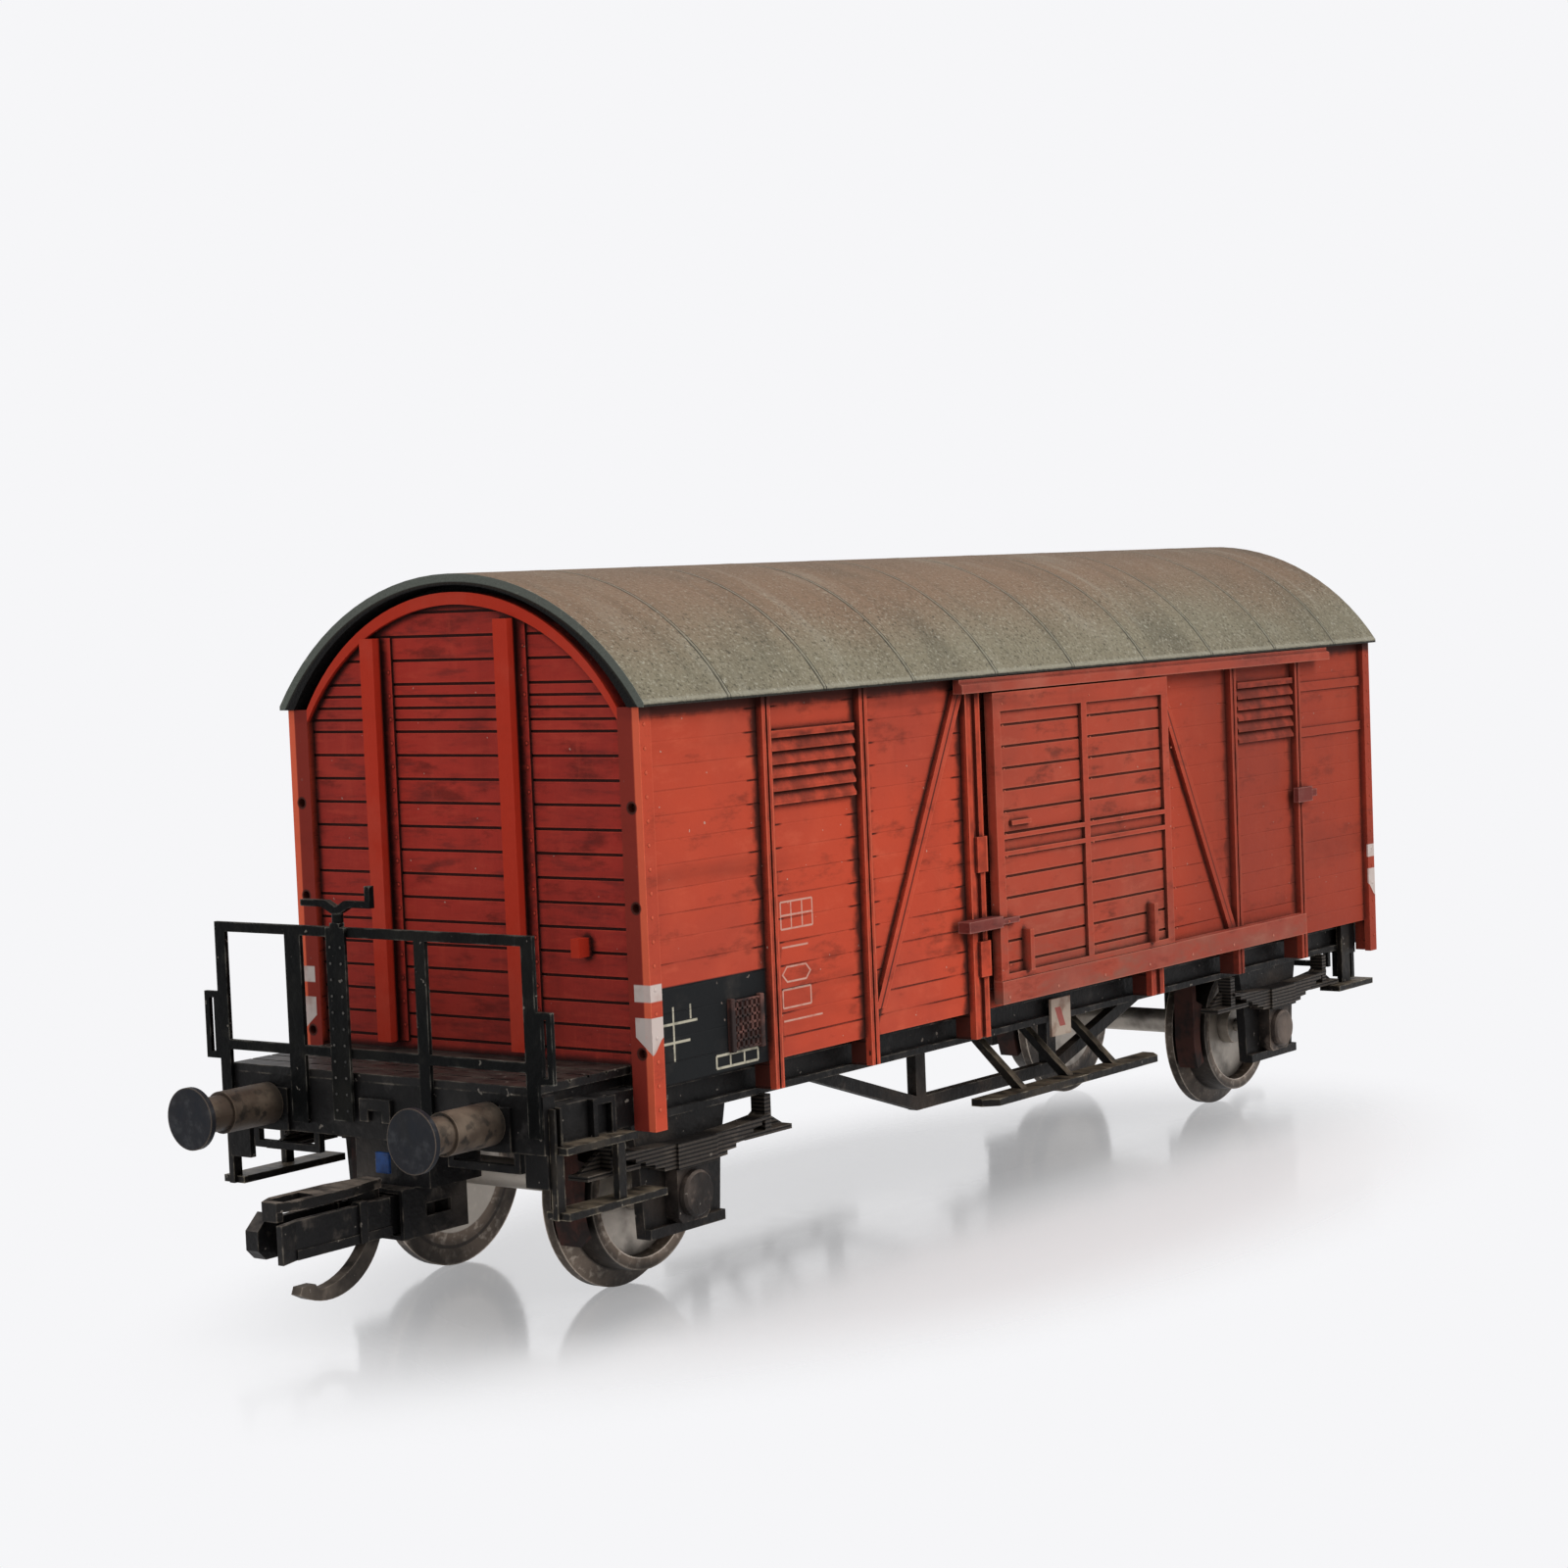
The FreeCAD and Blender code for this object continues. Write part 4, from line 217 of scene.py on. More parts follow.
class PaintTree(Tree):
    """A material's shader tree, with the nodes that paint needs."""

    def __init__(self, name: str) -> None:
        """Start a material with an empty tree.

        Args:
            name: the material's name.
        """
        self.material = bpy.data.materials.new(name)
        self.material.use_nodes = True
        super().__init__(self.material.node_tree, "ShaderNode")
        self.place = self.add("TexCoord", output="Object")
        axes = self.add("SeparateXYZ", values={0: self.place}).socket.node
        self.x, self.y, self.z = (Wire(self, socket) for socket in axes.outputs)

    def mixed(self, first: Any, second: Any, share: Any) -> Wire:
        """Give the first colour where share is 0, the second where it is 1."""
        settings = {"data_type": "RGBA", "clamp_factor": True}
        return self.add("Mix", settings, {0: share, 6: first, 7: second}, 2)

    def coated(self, colour: Any, *coats: tuple[Any, Any]) -> Wire:
        """Lay coats over a colour, one after another.

        Args:
            colour: the colour underneath.
            coats: the colour of each coat, and how much of it shows.

        Returns:
            The colour with all its coats.
        """
        for coat, share in coats:
            colour = self.mixed(colour, coat, share)
        return colour

    def noise(self, scale: float, detail: float = 3.0, stretch: Point = (1.0, 1.0, 1.0),
              rough: float = 0.55) -> Wire:
        """Add a noise over the piece.

        Args:
            scale: blotches in a metre.
            detail: how many finer layers there are.
            stretch: how much closer the blotches lie along each axis.
            rough: how strong the finer layers are.

        Returns:
            The noise, about 0.5 in the middle.
        """
        spread = self.add("VectorMath", {"operation": "MULTIPLY"}, {0: self.place, 1: stretch})
        return self.add("TexNoise", values={"Vector": spread, "Scale": scale, "Detail": detail,
                                            "Roughness": rough})

    def hollow(self, reach: float, inside: bool = False) -> Wire:
        """Give 1 deep in corners and grooves, or on outer edges from inside, and 0 in the open."""
        settings = {"samples": 6, "inside": inside}
        return 1.0 - self.add("AmbientOcclusion", settings, {"Distance": reach}, "AO")

    def edge(self, reach: float) -> Wire:
        """Give 1 on outer edges, 0 on flats."""
        return self.hollow(reach, inside=True)

    def facing_up(self) -> Wire:
        """Give how far a surface looks up."""
        normal = self.add("NewGeometry", output="Normal")
        return self.add("SeparateXYZ", values={0: normal}, output=2)

    def finish(self, colour: Any, roughness: Any, height: Wire, depth: float,
               metal: float = 0.0, **fixed: float) -> bpy.types.Material:
        """Close the tree with a surface.

        Args:
            colour: the base colour.
            roughness: the roughness.
            height: a relief between 0 and 1.
            depth: how deep the relief is.
            metal: how metallic the surface is.
            fixed: other sockets of the surface, each one value all over.

        Returns:
            The finished material.
        """
        relief = self.add("Bump", values={"Strength": 1.0, "Distance": depth, "Height": height})
        values = {"Base Color": colour, "Roughness": roughness, "Metallic": metal, "Normal": relief}
        values.update({name.replace("_", " "): value for name, value in fixed.items()})
        surface = self.add("BsdfPrincipled", values=values)
        self.add("OutputMaterial", values={"Surface": surface})
        return self.material


# The body's plan in the frame: its ends, its middle, half its length and width, and how far
# out the boards of its sides lie.
BODY_FRONT = -33.1 * MM
BODY_REAR = 40.6 * MM
BODY_MIDDLE = (BODY_FRONT + BODY_REAR) / 2
BODY_HALF = (BODY_REAR - BODY_FRONT) / 2
BODY_SIDE = 11.5 * MM
BOARD_FACE = 11.1 * MM
PLANK_PITCH = 1.167 * MM


# ---------------------------------------------------------------- finishes

@dataclass(frozen=True)
class RedPaint:
    """Weathered red paint over boards, with a dark wash in the joints and painted shade in its
    hollows.

    Attributes:
        name: the material's name.
        fresh: the paint where it is clean.
        faded: the paint where it has dulled.
        wash: the dirt in joints and corners, also used as painted shade in hollows and round holes
            and as painted shadow under the eaves.
        worn: the paint on rubbed edges.
        soot: how much the broad dark stains show.
        dust: how much pale dust lies low down.
        low: the level below which dust and dirt gather.
    """

    name: str
    fresh: Colour
    faded: Colour
    wash: Colour
    worn: Colour
    soot: float
    dust: float = 0.0
    low: float = 17.0 * MM

    def make(self) -> bpy.types.Material:
        """Build the material.

        Returns:
            The finished material.
        """
        paint = PaintTree(self.name)
        grain = paint.noise(1800.0, 2.0)
        along = paint.noise(240.0, 3.0, (0.22, 0.22, 2.4))
        colour, height = self.detailed(paint, self.weathered(paint, grain, along))
        relief = grain * 0.3 + along * 0.25 + height
        rough = 0.52 + paint.noise(90.0) * 0.25
        return paint.finish(colour, rough, relief, 0.07 * MM, Specular_IOR_Level=0.1)

    def weathered(self, paint: PaintTree, grain: Wire, along: Wire) -> Wire:
        """Fade, streak, wear and wash the paint, darken its hollows with painted shade and brighten
        its edges with worn paint and painted highlight.

        Args:
            paint: the material's tree.
            grain: a fine noise.
            along: a noise drawn out along the boards.

        Returns:
            The weathered colour.
        """
        broad = paint.noise(70.0, 4.0)
        patch = paint.noise(300.0, 4.0)
        scrape = paint.noise(900.0, 5.0, (0.35, 0.35, 1.0), 0.65)
        streak = paint.noise(420.0, 3.0, (1.0, 1.0, 0.16))
        speck = paint.noise(3300.0, 1.0).ramp(0.79, 0.80)
        low = (paint.z + (broad - 0.5) * 14 * MM).ramp(self.low, self.low - 7 * MM)
        # dirt: ambient occlusion in corners and grooves, a dark wash that is also painted shade.
        dirt = paint.hollow(0.6 * MM).ramp(0.12, 0.5) * (0.35 + grain)
        return paint.coated(
            self.fresh,
            (self.faded, broad.ramp(0.36, 0.66)),
            (self.worn, patch.ramp(0.5, 0.8) * 0.35),
            (self.worn, scrape.ramp(0.56, 0.75) * 0.35),
            (self.wash, scrape.ramp(0.47, 0.28) * (self.soot * 0.6)),
            (self.wash, streak.ramp(0.55, 0.8) * (self.soot * 0.25)),
            (self.wash, along.ramp(0.56, 0.8) * (self.soot * 0.4)),
            (DUST, low * scrape.ramp(0.4, 0.62) * self.dust),
            # Edges: worn paint and painted highlight.
            (self.worn, paint.edge(0.12 * MM).ramp(0.22, 0.55) * 0.8),
            (self.wash, dirt.ramp(0.06, 0.6) * 0.9),
            (PALE_CHIP, speck * 0.8),
        )

    def detailed(self, paint: PaintTree, colour: Wire) -> tuple[Wire, Wire]:
        """Give the colour, and a relief to add, of what only this kind of board has."""
        return colour, paint.z * 0.0


@dataclass(frozen=True)
class Strokes:
    """Thin painted lines on a side, placed in millimetres from its left end and the rails.

    Attributes:
        half: half a line's width, in metres.
        levels: the level, start and end of each level line.
        uprights: the place, foot and head of each upright line.
    """

    half: float
    levels: tuple[Point, ...]
    uprights: tuple[Point, ...]

    def drawn(self, u: Wire, z: Wire) -> Wire:
        """Draw the lines.

        Args:
            u: the distance along the side from its left end.
            z: the level.

        Returns:
            1 on a line.
        """
        lines = [z.near(place * MM, self.half) * u.between(start * MM, end * MM)
                 for place, start, end in self.levels]
        lines += [u.near(place * MM, self.half) * z.between(foot * MM, head * MM)
                  for place, foot, head in self.uprights]
        return reduce(Wire.most, lines)


@dataclass(frozen=True)
class SideMarks:
    """The painted marks of a side: black panel, pale rules, blank boxes, white corner marks.

    Attributes:
        panel: the panel's left and right ends and its lower and upper levels.
        black: the panel's paint.
        scuffed: the panel's paint where it is dusty.
        chipped: what shows through its chips.
        cream: the paint of the rules on the panel.
        rules: the rules on the panel.
        pink: the faded paint of the boxes.
        boxes: the boxes and lines beside the panel.
        lozenge: where the six-sided box lies along the side, and its level.
        lozenge_half: half its height.
        lozenge_reach: how far its points reach from its middle.
        corner_width: how far the corner marks reach along the side.
        corner_reach: how far they reach from the post's ridge.
        band: the lower and upper level of the corner's band.
        shield: the lower and upper level of the corner's shield.
        white: the paint of the corner marks.
        grimy: that paint where it is dirty.
    """

    panel: tuple[float, float, float, float] = (0.85 * MM, 9.3 * MM, 10.5 * MM, 15.2 * MM)
    black: Colour = (0.010, 0.011, 0.012)
    scuffed: Colour = (0.045, 0.040, 0.037)
    chipped: Colour = (0.35, 0.28, 0.24)
    cream: Colour = (0.62, 0.58, 0.46)
    rules: Strokes = Strokes(
        0.06 * MM,
        ((13.4, 1.2, 3.9), (12.5, 1.2, 3.3), (10.8, 5.25, 8.5), (11.4, 5.25, 8.5)),
        ((2.1, 11.6, 14.2), (3.4, 13.5, 14.2),
         (5.25, 10.8, 11.4), (6.33, 10.8, 11.4), (7.42, 10.8, 11.4), (8.5, 10.8, 11.4)),
    )
    pink: Colour = (0.68, 0.42, 0.34)
    boxes: Strokes = Strokes(
        0.045 * MM,
        ((18.25, 10.75, 13.35), (17.58, 10.75, 13.35), (16.9, 10.75, 13.35),
         (16.0, 10.75, 12.9), (13.9, 10.7, 13.0), (13.0, 10.7, 13.0), (12.35, 10.7, 13.9)),
        ((10.75, 16.9, 18.25), (11.6, 16.9, 18.25), (12.5, 16.9, 18.25), (13.35, 16.9, 18.25),
         (10.7, 13.0, 13.9), (13.0, 13.0, 13.9)),
    )
    lozenge: Pair = (11.87 * MM, 14.65 * MM)
    lozenge_half: float = 0.37 * MM
    lozenge_reach: float = 1.15 * MM
    corner_width: float = 0.86 * MM
    corner_reach: float = 0.98 * MM
    band: Pair = (14.7 * MM, 15.5 * MM)
    shield: Pair = (12.2 * MM, 13.95 * MM)
    white: Colour = (0.70, 0.62, 0.58)
    grimy: Colour = (0.45, 0.30, 0.26)

    def painted(self, paint: PaintTree, colour: Wire, on_boards: Wire) -> Wire:
        """Paint the marks.

        Args:
            paint: the material's tree.
            colour: the paint so far.
            on_boards: 1 on the flat of the boards.

        Returns:
            The colour with the marks on it.
        """
        from_front = paint.x - BODY_FRONT
        u = from_front + (paint.y > 0.0) * (BODY_REAR - paint.x - from_front)
        z = paint.z
        left, right, low, high = self.panel
        panel = u.between(left, right, 0.04 * MM) * z.between(low, high, 0.05 * MM)
        black = paint.coated(
            self.black,
            (self.scuffed, paint.noise(420.0, 5.0).ramp(0.55, 0.85)),
            (self.chipped, paint.noise(1900.0, 2.0).ramp(0.7, 0.74) * 0.6),
        )
        whole = paint.noise(1300.0, 3.0).ramp(0.25, 0.5, 0.5, 1.0)
        faint = paint.noise(1500.0, 3.0).ramp(0.2, 0.5, 0.45, 1.0)
        boxes = self.boxes.drawn(u, z).most(self._lozenge_line(u, z))
        white = paint.mixed(self.white, self.grimy, paint.noise(600.0).ramp(0.5, 0.75))
        worn = paint.noise(600.0, 3.0).ramp(0.25, 0.42, 0.55, 1.0)
        return paint.coated(
            colour,
            (black, panel * on_boards),
            (self.cream, self.rules.drawn(u, z) * on_boards * whole * 0.85),
            (self.pink, boxes * on_boards * faint * 0.85),
            (white, self._corner(paint, u) * worn * 0.92),
        )

    def _lozenge_line(self, u: Wire, z: Wire) -> Wire:
        """Draw the outline of the six-sided box.

        Args:
            u: the distance along the side from its left end.
            z: the level.

        Returns:
            1 on its line.
        """
        across, up = abs(u - self.lozenge[0]), abs(z - self.lozenge[1])
        off_line = (up - self.lozenge_half).most((across + up - self.lozenge_reach) * 0.7)
        return off_line.near(0.0, self.boxes.half)

    def _corner(self, paint: PaintTree, u: Wire) -> Wire:
        """Draw the band and the shield round each corner post.

        Args:
            paint: the material's tree.
            u: the distance along the side from its left end.

        Returns:
            1 on a band or a shield.
        """
        z = paint.z
        post = 0.9 * MM
        at_end = (u < self.corner_width).most(u > 2 * BODY_HALF - self.corner_width)
        from_end = abs(u - BODY_HALF).ramp(BODY_HALF - post, BODY_HALF, post, 0.0)
        off_ridge = (BODY_SIDE - abs(paint.y)).most(0.0) + from_end
        band = z.between(*self.band, 0.04 * MM)
        shield = (z - off_ridge * 0.85 > self.shield[0]) * (z < self.shield[1])
        return at_end * (off_ridge < self.corner_reach) * band.most(shield)


@dataclass(frozen=True)
class SidePaint(RedPaint):
    """Red side boards: joints between planks, grime by the posts, and the painted marks.

    Attributes:
        inner: the painted shade on the corner posts' end faces toward the boards.
        ridge: the painted light on those faces along the ridge.
        plank_start: the level of the lowest joint.
        posts: each post's place from the body's middle, and half its width.
        brace_head: the braces' upper places from the body's middle.
        brace_foot: the braces' lower places from the body's middle.
        brace_low: the level of the braces' lower ends.
        brace_high: the level of the braces' upper ends.
        hole_inset: how far the handrail holes lie in from the corner posts' faces.
        hole_levels: the levels of the handrail holes.
        louvre_levels: the lower and upper level of the ventilators.
        eave_shade: the levels between which the shade under the eaves sets in.
        marks: the painted marks.
    """

    inner: Colour = (0.24, 0.028, 0.020)
    ridge: Colour = (0.95, 0.17, 0.085)
    plank_start: float = 11.6 * MM
    posts: tuple[Pair, ...] = (
        (9.15 * MM, 0.7 * MM), (19.05 * MM, 0.35 * MM), (27.15 * MM, 0.35 * MM))
    brace_head: float = 10.2 * MM
    brace_foot: float = 18.3 * MM
    brace_low: float = 12.0 * MM
    brace_high: float = 27.9 * MM
    hole_inset: float = 0.65 * MM
    hole_levels: tuple[float, ...] = (12.25 * MM, 19.1 * MM, 23.8 * MM)
    louvre_levels: Pair = (23.1 * MM, 26.7 * MM)
    eave_shade: Pair = (27.7 * MM, 28.15 * MM)
    marks: SideMarks = SideMarks()

    def detailed(self, paint: PaintTree, colour: Wire) -> tuple[Wire, Wire]:
        """Add plank joints, grime, marks, worn and painted-highlight edges on the posts, and
        painted light and shade on the ends of the corner posts.

        Args:
            paint: the material's tree.
            colour: the weathered colour.

        Returns:
            The colour, and a relief to add.
        """
        outward = abs(paint.y)
        from_middle = abs(paint.x - BODY_MIDDLE)
        on_boards = (outward.ramp(BOARD_FACE + 0.02 * MM, BOARD_FACE + 0.05 * MM, 1.0, 0.0)
                     * (from_middle < BODY_HALF - 0.1 * MM))
        scuff = paint.noise(900.0, 4.0)
        beside = self._beside(from_middle)
        joint = (paint.z - self.plank_start).wrapped(PLANK_PITCH)
        line = joint.ramp(0.01 * MM, 0.06 * MM, 1.0, 0.0) * on_boards
        shown = self._joint_dirt(paint, beside, scuff)
        crust = (beside + (scuff - 0.5) * 1.3 * MM).ramp(0.1 * MM, 0.7 * MM, 0.95, 0.0)
        on_post = outward.ramp(BODY_SIDE - 0.06 * MM, BODY_SIDE - 0.03 * MM) * (beside < 0.01 * MM)
        # Worn paint and painted highlight along each post's edges.
        worn_lit_lip = beside.between(-0.12 * MM, -0.02 * MM) * on_post
        off_brace = self._off_brace(paint.z, from_middle)
        brace_flank = outward.between(BOARD_FACE + 0.2 * MM, BOARD_FACE + 0.34 * MM)
        near_brace = (off_brace + (scuff - 0.5) * 0.6 * MM).ramp(0.42 * MM, 0.72 * MM, 0.9, 0.0)
        in_bay = from_middle.between(self.brace_head, self.brace_foot)
        colour = paint.coated(
            colour,
            (self.wash, line * shown),
            (self.wash, crust * on_boards),
            (self.wash, on_post * scuff.ramp(0.3, 0.7) * 0.5),
            (self.worn, worn_lit_lip * scuff.ramp(0.35, 0.55) * 0.8),
            (self.wash, off_brace.ramp(0.03 * MM, 0.10 * MM, 0.9, 0.0) * brace_flank),
            (self.wash, near_brace * in_bay * on_boards),
        )
        colour = self._post_ends(paint, self._smudged(paint, colour, scuff))
        return self.marks.painted(paint, colour, on_boards), line * (shown + 0.12) * -1.4

    def _beside(self, from_middle: Wire) -> Wire:
        """Give the distance from the nearest post's flank, below 0 on the post."""
        return reduce(Wire.least, (abs(from_middle - place) - half for place, half in self.posts))

    def _off_brace(self, z: Wire, from_middle: Wire) -> Wire:
        """Give the distance from a brace's middle line, level with the rails."""
        lean = (self.brace_foot - self.brace_head) / (self.brace_high - self.brace_low)
        return abs(from_middle - self.brace_foot + (z - self.brace_low) * lean)

    @staticmethod
    def _joint_dirt(paint: PaintTree, beside: Wire, scuff: Wire) -> Wire:
        """Dirty the joints low down and in short dashes by the posts.

        Args:
            paint: the material's tree.
            beside: the distance from the nearest post's flank.
            scuff: a fine noise.

        Returns:
            How much dirt a joint shows.
        """
        broken = paint.noise(330.0, 3.0, (0.5, 0.5, 2.0)).ramp(0.38, 0.62)
        low = paint.z.ramp(13 * MM, 21 * MM, 0.8, 0.1)
        dash = beside.ramp(0.7 * MM, 1.2 * MM, 0.95, 0.0) * scuff.ramp(0.36, 0.5)
        return (broken * low).most(dash) * paint.x.ramp(13 * MM, 22 * MM, 1.0, 0.25)

    def _smudged(self, paint: PaintTree, colour: Wire, scuff: Wire) -> Wire:
        """Paint shade over the bays toward the rear, smear soot low in them and round the
        ventilators, and paint the shadow under the eaves.

        Args:
            paint: the material's tree.
            colour: the paint so far.
            scuff: a fine noise.

        Returns:
            The smudged colour.
        """
        rearward = paint.x.ramp(9 * MM, 21 * MM)
        smear = paint.noise(130.0, 4.0, (0.6, 0.6, 1.6)).ramp(0.52, 0.68)
        low = paint.z.ramp(12 * MM, 18 * MM, 1.0, 0.1)
        (near_post, _), (far_post, _) = self.posts[1:]
        bay = abs(paint.x - BODY_MIDDLE).between(near_post + 0.4 * MM, far_post - 0.4 * MM)
        louvres = (paint.z + (scuff - 0.5) * 0.8 * MM).between(*self.louvre_levels, 0.1 * MM) * bay
        # Painted shadow in a band under the eaves.
        eave_shadow = (paint.z + (scuff - 0.5) * 0.6 * MM).ramp(*self.eave_shade)
        return paint.coated(
            colour,
            (SHADED_RED, rearward * 0.5),
            (self.wash, smear * low * (0.15 + rearward * 0.65)),
            (self.wash, louvres * scuff.ramp(0.3, 0.65) * 0.55),
            (self.wash, eave_shadow * 0.9),
        )

    def _post_ends(self, paint: PaintTree, colour: Wire) -> Wire:
        """Paint light along the ridge of the corner posts' end faces and shade toward the boards,
        and ring their handrail holes with painted shade.

        Args:
            paint: the material's tree.
            colour: the paint so far.

        Returns:
            The colour with the shaded ends.
        """
        # End faces: painted light along the ridge, painted shade toward the boards, and a ring of
        # painted shade round each handrail hole.
        end_face = abs(paint.x - BODY_MIDDLE) > BODY_HALF - 0.02 * MM
        inner = abs(paint.y).ramp(BODY_SIDE - 0.48 * MM, BODY_SIDE - 0.36 * MM, 1.0, 0.0)
        across = abs(paint.y) - (BODY_SIDE - self.hole_inset)
        up = reduce(Wire.least, (abs(paint.z - level) for level in self.hole_levels))
        ringed = across.diagonal(up).ramp(0.27 * MM, 0.36 * MM, 1.0, 0.0)
        return paint.coated(
            colour,
            (self.ridge, end_face * (1.0 - inner) * 0.8),
            (self.inner, end_face * inner * 0.9),
            (self.wash, ringed * end_face * 0.95),
        )


@dataclass(frozen=True)
class EndPaint(RedPaint):
    """Red end boards, darker low down, with brighter stanchions and rim.

    Attributes:
        bright: the paint on what stands out from the boards.
        deep: the paint of the boards low down.
        proud: how far out the bright pieces start.
    """

    bright: Colour = (0.56, 0.041, 0.018)
    deep: Colour = (0.14, 0.025, 0.022)
    proud: float = 36.62 * MM

    def detailed(self, paint: PaintTree, colour: Wire) -> tuple[Wire, Wire]:
        """Brighten the stanchions and darken the boards low down.

        Args:
            paint: the material's tree.
            colour: the weathered colour.

        Returns:
            The colour, and a relief to add.
        """
        out = abs(paint.x - BODY_MIDDLE)
        mottle = paint.noise(260.0, 4.0)
        brushed = paint.noise(700.0, 5.0, (1.0, 1.6, 0.3), 0.65)
        drawn = paint.noise(900.0, 4.0, (1.0, 0.3, 1.8), 0.65)
        low = (paint.z + (mottle - 0.5) * 9 * MM).ramp(18 * MM, 12 * MM)
        bright = paint.mixed(self.bright, self.worn, mottle.ramp(0.45, 0.7) * 0.5)
        shaded = paint.hollow(0.4 * MM).ramp(0.35, 0.85, 1.0, 0.3)
        colour = paint.coated(
            colour,
            (self.deep, low * 0.2 + mottle.ramp(0.5, 0.75) * 0.3),
            (self.worn, brushed.ramp(0.55, 0.75) * 0.3),
            (self.deep, drawn.ramp(0.5, 0.3) * 0.6),
            (self.worn, drawn.ramp(0.55, 0.75) * 0.35),
            # Painted shade in grooves and corners, with the wash.
            (self.wash, paint.hollow(0.3 * MM).ramp(0.04, 0.3) * 0.85),
            (bright, out.ramp(self.proud, self.proud + 0.1 * MM) * shaded * 0.9),
        )
        return colour, brushed * 0.7


@dataclass(frozen=True)
class RoofPaint:
    """Grey-green roof paint, browned along the crown, with streaks down its curve.

    Attributes:
        name: the material's name.
        grey: the paint near the eaves.
        tan: the paint near the crown.
        dark: the soot in it.
        pale: the dust and scratches on it.
        rim: the paint on the end edges.
        inside: the near-black painted shade on the underside and within the end edges.
        soot: the near-black painted shadow on the lowest part of the eaves' edge.
        crown: the level of the crown.
        eave: the level of the eaves.
        half_width: how far the eaves lie from the middle.
        under: the levels between which the painted shadow sets in on the lower part of the eaves'
            edge.
        first_seam: the place of the first seam.
        seam_pitch: how far the seams lie apart.
    """

    name: str = "roof_olive"
    grey: Colour = (0.250, 0.222, 0.155)
    tan: Colour = (0.245, 0.160, 0.105)
    dark: Colour = (0.050, 0.046, 0.034)
    pale: Colour = (0.46, 0.44, 0.36)
    rim: Colour = (0.135, 0.152, 0.134)
    inside: Colour = (0.0015, 0.0012, 0.001)
    soot: Colour = (0.010, 0.009, 0.008)
    crown: float = 35.05 * MM
    eave: float = 28.7 * MM
    half_width: float = 11.95 * MM
    under: Pair = (28.66 * MM, 28.58 * MM)
    first_seam: float = -26.8 * MM
    seam_pitch: float = 7.73 * MM

    def make(self) -> bpy.types.Material:
        """Build the material.

        Returns:
            The finished material.
        """
        paint = PaintTree(self.name)
        broad = paint.noise(55.0, 4.0)
        blotch = paint.noise(210.0, 5.0, (1.0, 0.6, 0.6))
        sand = paint.noise(5200.0, 3.0, rough=0.7)
        coarse = paint.noise(1300.0, 4.0)
        streak = paint.noise(480.0, 3.0, (1.0, 0.12, 0.12))
        scratch = paint.noise(300.0, 2.0, (0.25, 3.0, 3.0)).ramp(0.70, 0.72)
        climb = (paint.z - self.eave) / (self.crown - self.eave)
        rearward = paint.x.ramp(5 * MM, 38 * MM)
        rough_low = climb.ramp(0.45, 0.85, 1.0, 0.45)
        off_seam = (paint.x - self.first_seam).wrapped(self.seam_pitch)
        # Painted shadow on the lower part of the eaves' edge.
        under = (paint.z + (coarse - 0.5) * 0.08 * MM).ramp(*self.under)
        colour = paint.coated(
            self.grey,
            (self.tan, (climb + (broad - 0.5) * 1.0 - rearward * 0.1).ramp(0.1, 0.8)),
            (self.dark, climb.ramp(0.8, 1.0) * 0.2),
            (self.dark, rearward * 0.16),
            (self.dark, blotch.ramp(0.5, 0.75) * 0.4),
            (self.pale, blotch.ramp(0.45, 0.25) * 0.22),
            (self.dark, streak.ramp(0.52, 0.75) * 0.25),
            (self.pale, streak.ramp(0.42, 0.25) * 0.25),
            (self.pale, sand.ramp(0.54, 0.70) * rough_low * 0.75),
            (self.dark, sand.ramp(0.46, 0.30) * rough_low * 0.85),
            (self.pale, climb.ramp(0.012, 0.035, 0.4, 0.0)),
            (self.pale, scratch * paint.x.ramp(-20 * MM, -29 * MM)),
            (self.dark, off_seam.between(0.06 * MM, 0.17 * MM) * coarse.ramp(0.35, 0.6, 0.6, 1.0)),
            (self.pale, paint.edge(0.12 * MM).ramp(0.3, 0.6) * 0.35),
            (self.soot, under * 0.95),
        )
        height = sand * 1.1 + blotch * 0.3 + coarse * 0.35
        return paint.finish(self._rimmed(paint, colour, coarse), 0.6 + broad * 0.2, height,
                            0.10 * MM, Specular_IOR_Level=0.15)

    def _rimmed(self, paint: PaintTree, colour: Wire, coarse: Wire) -> Wire:
        """Paint the ends blue-grey along the outer edge with near-black painted shade inside it,
        and paint shade over the roof's underside.

        Args:
            paint: the material's tree.
            colour: the paint so far.
            coarse: a noise.

        Returns:
            The colour with the painted ends.
        """
        end = abs(paint.x - BODY_MIDDLE) > BODY_HALF + 0.13 * MM
        rise = self.crown - self.eave
        radius = (self.half_width ** 2 + rise ** 2) / (2 * rise)
        inward = radius - paint.y.diagonal(paint.z - (self.crown - radius))
        # Near-black painted shade within the end edges and over the roof's underside.
        rim = paint.coated(
            self.rim,
            (self.pale, coarse.ramp(0.6, 0.75) * 0.4),
            (self.inside, inward.ramp(0.36 * MM, 0.44 * MM)),
        )
        return paint.coated(
            colour, (rim, end * 0.95), (self.inside, inward.ramp(0.48 * MM, 0.54 * MM)))


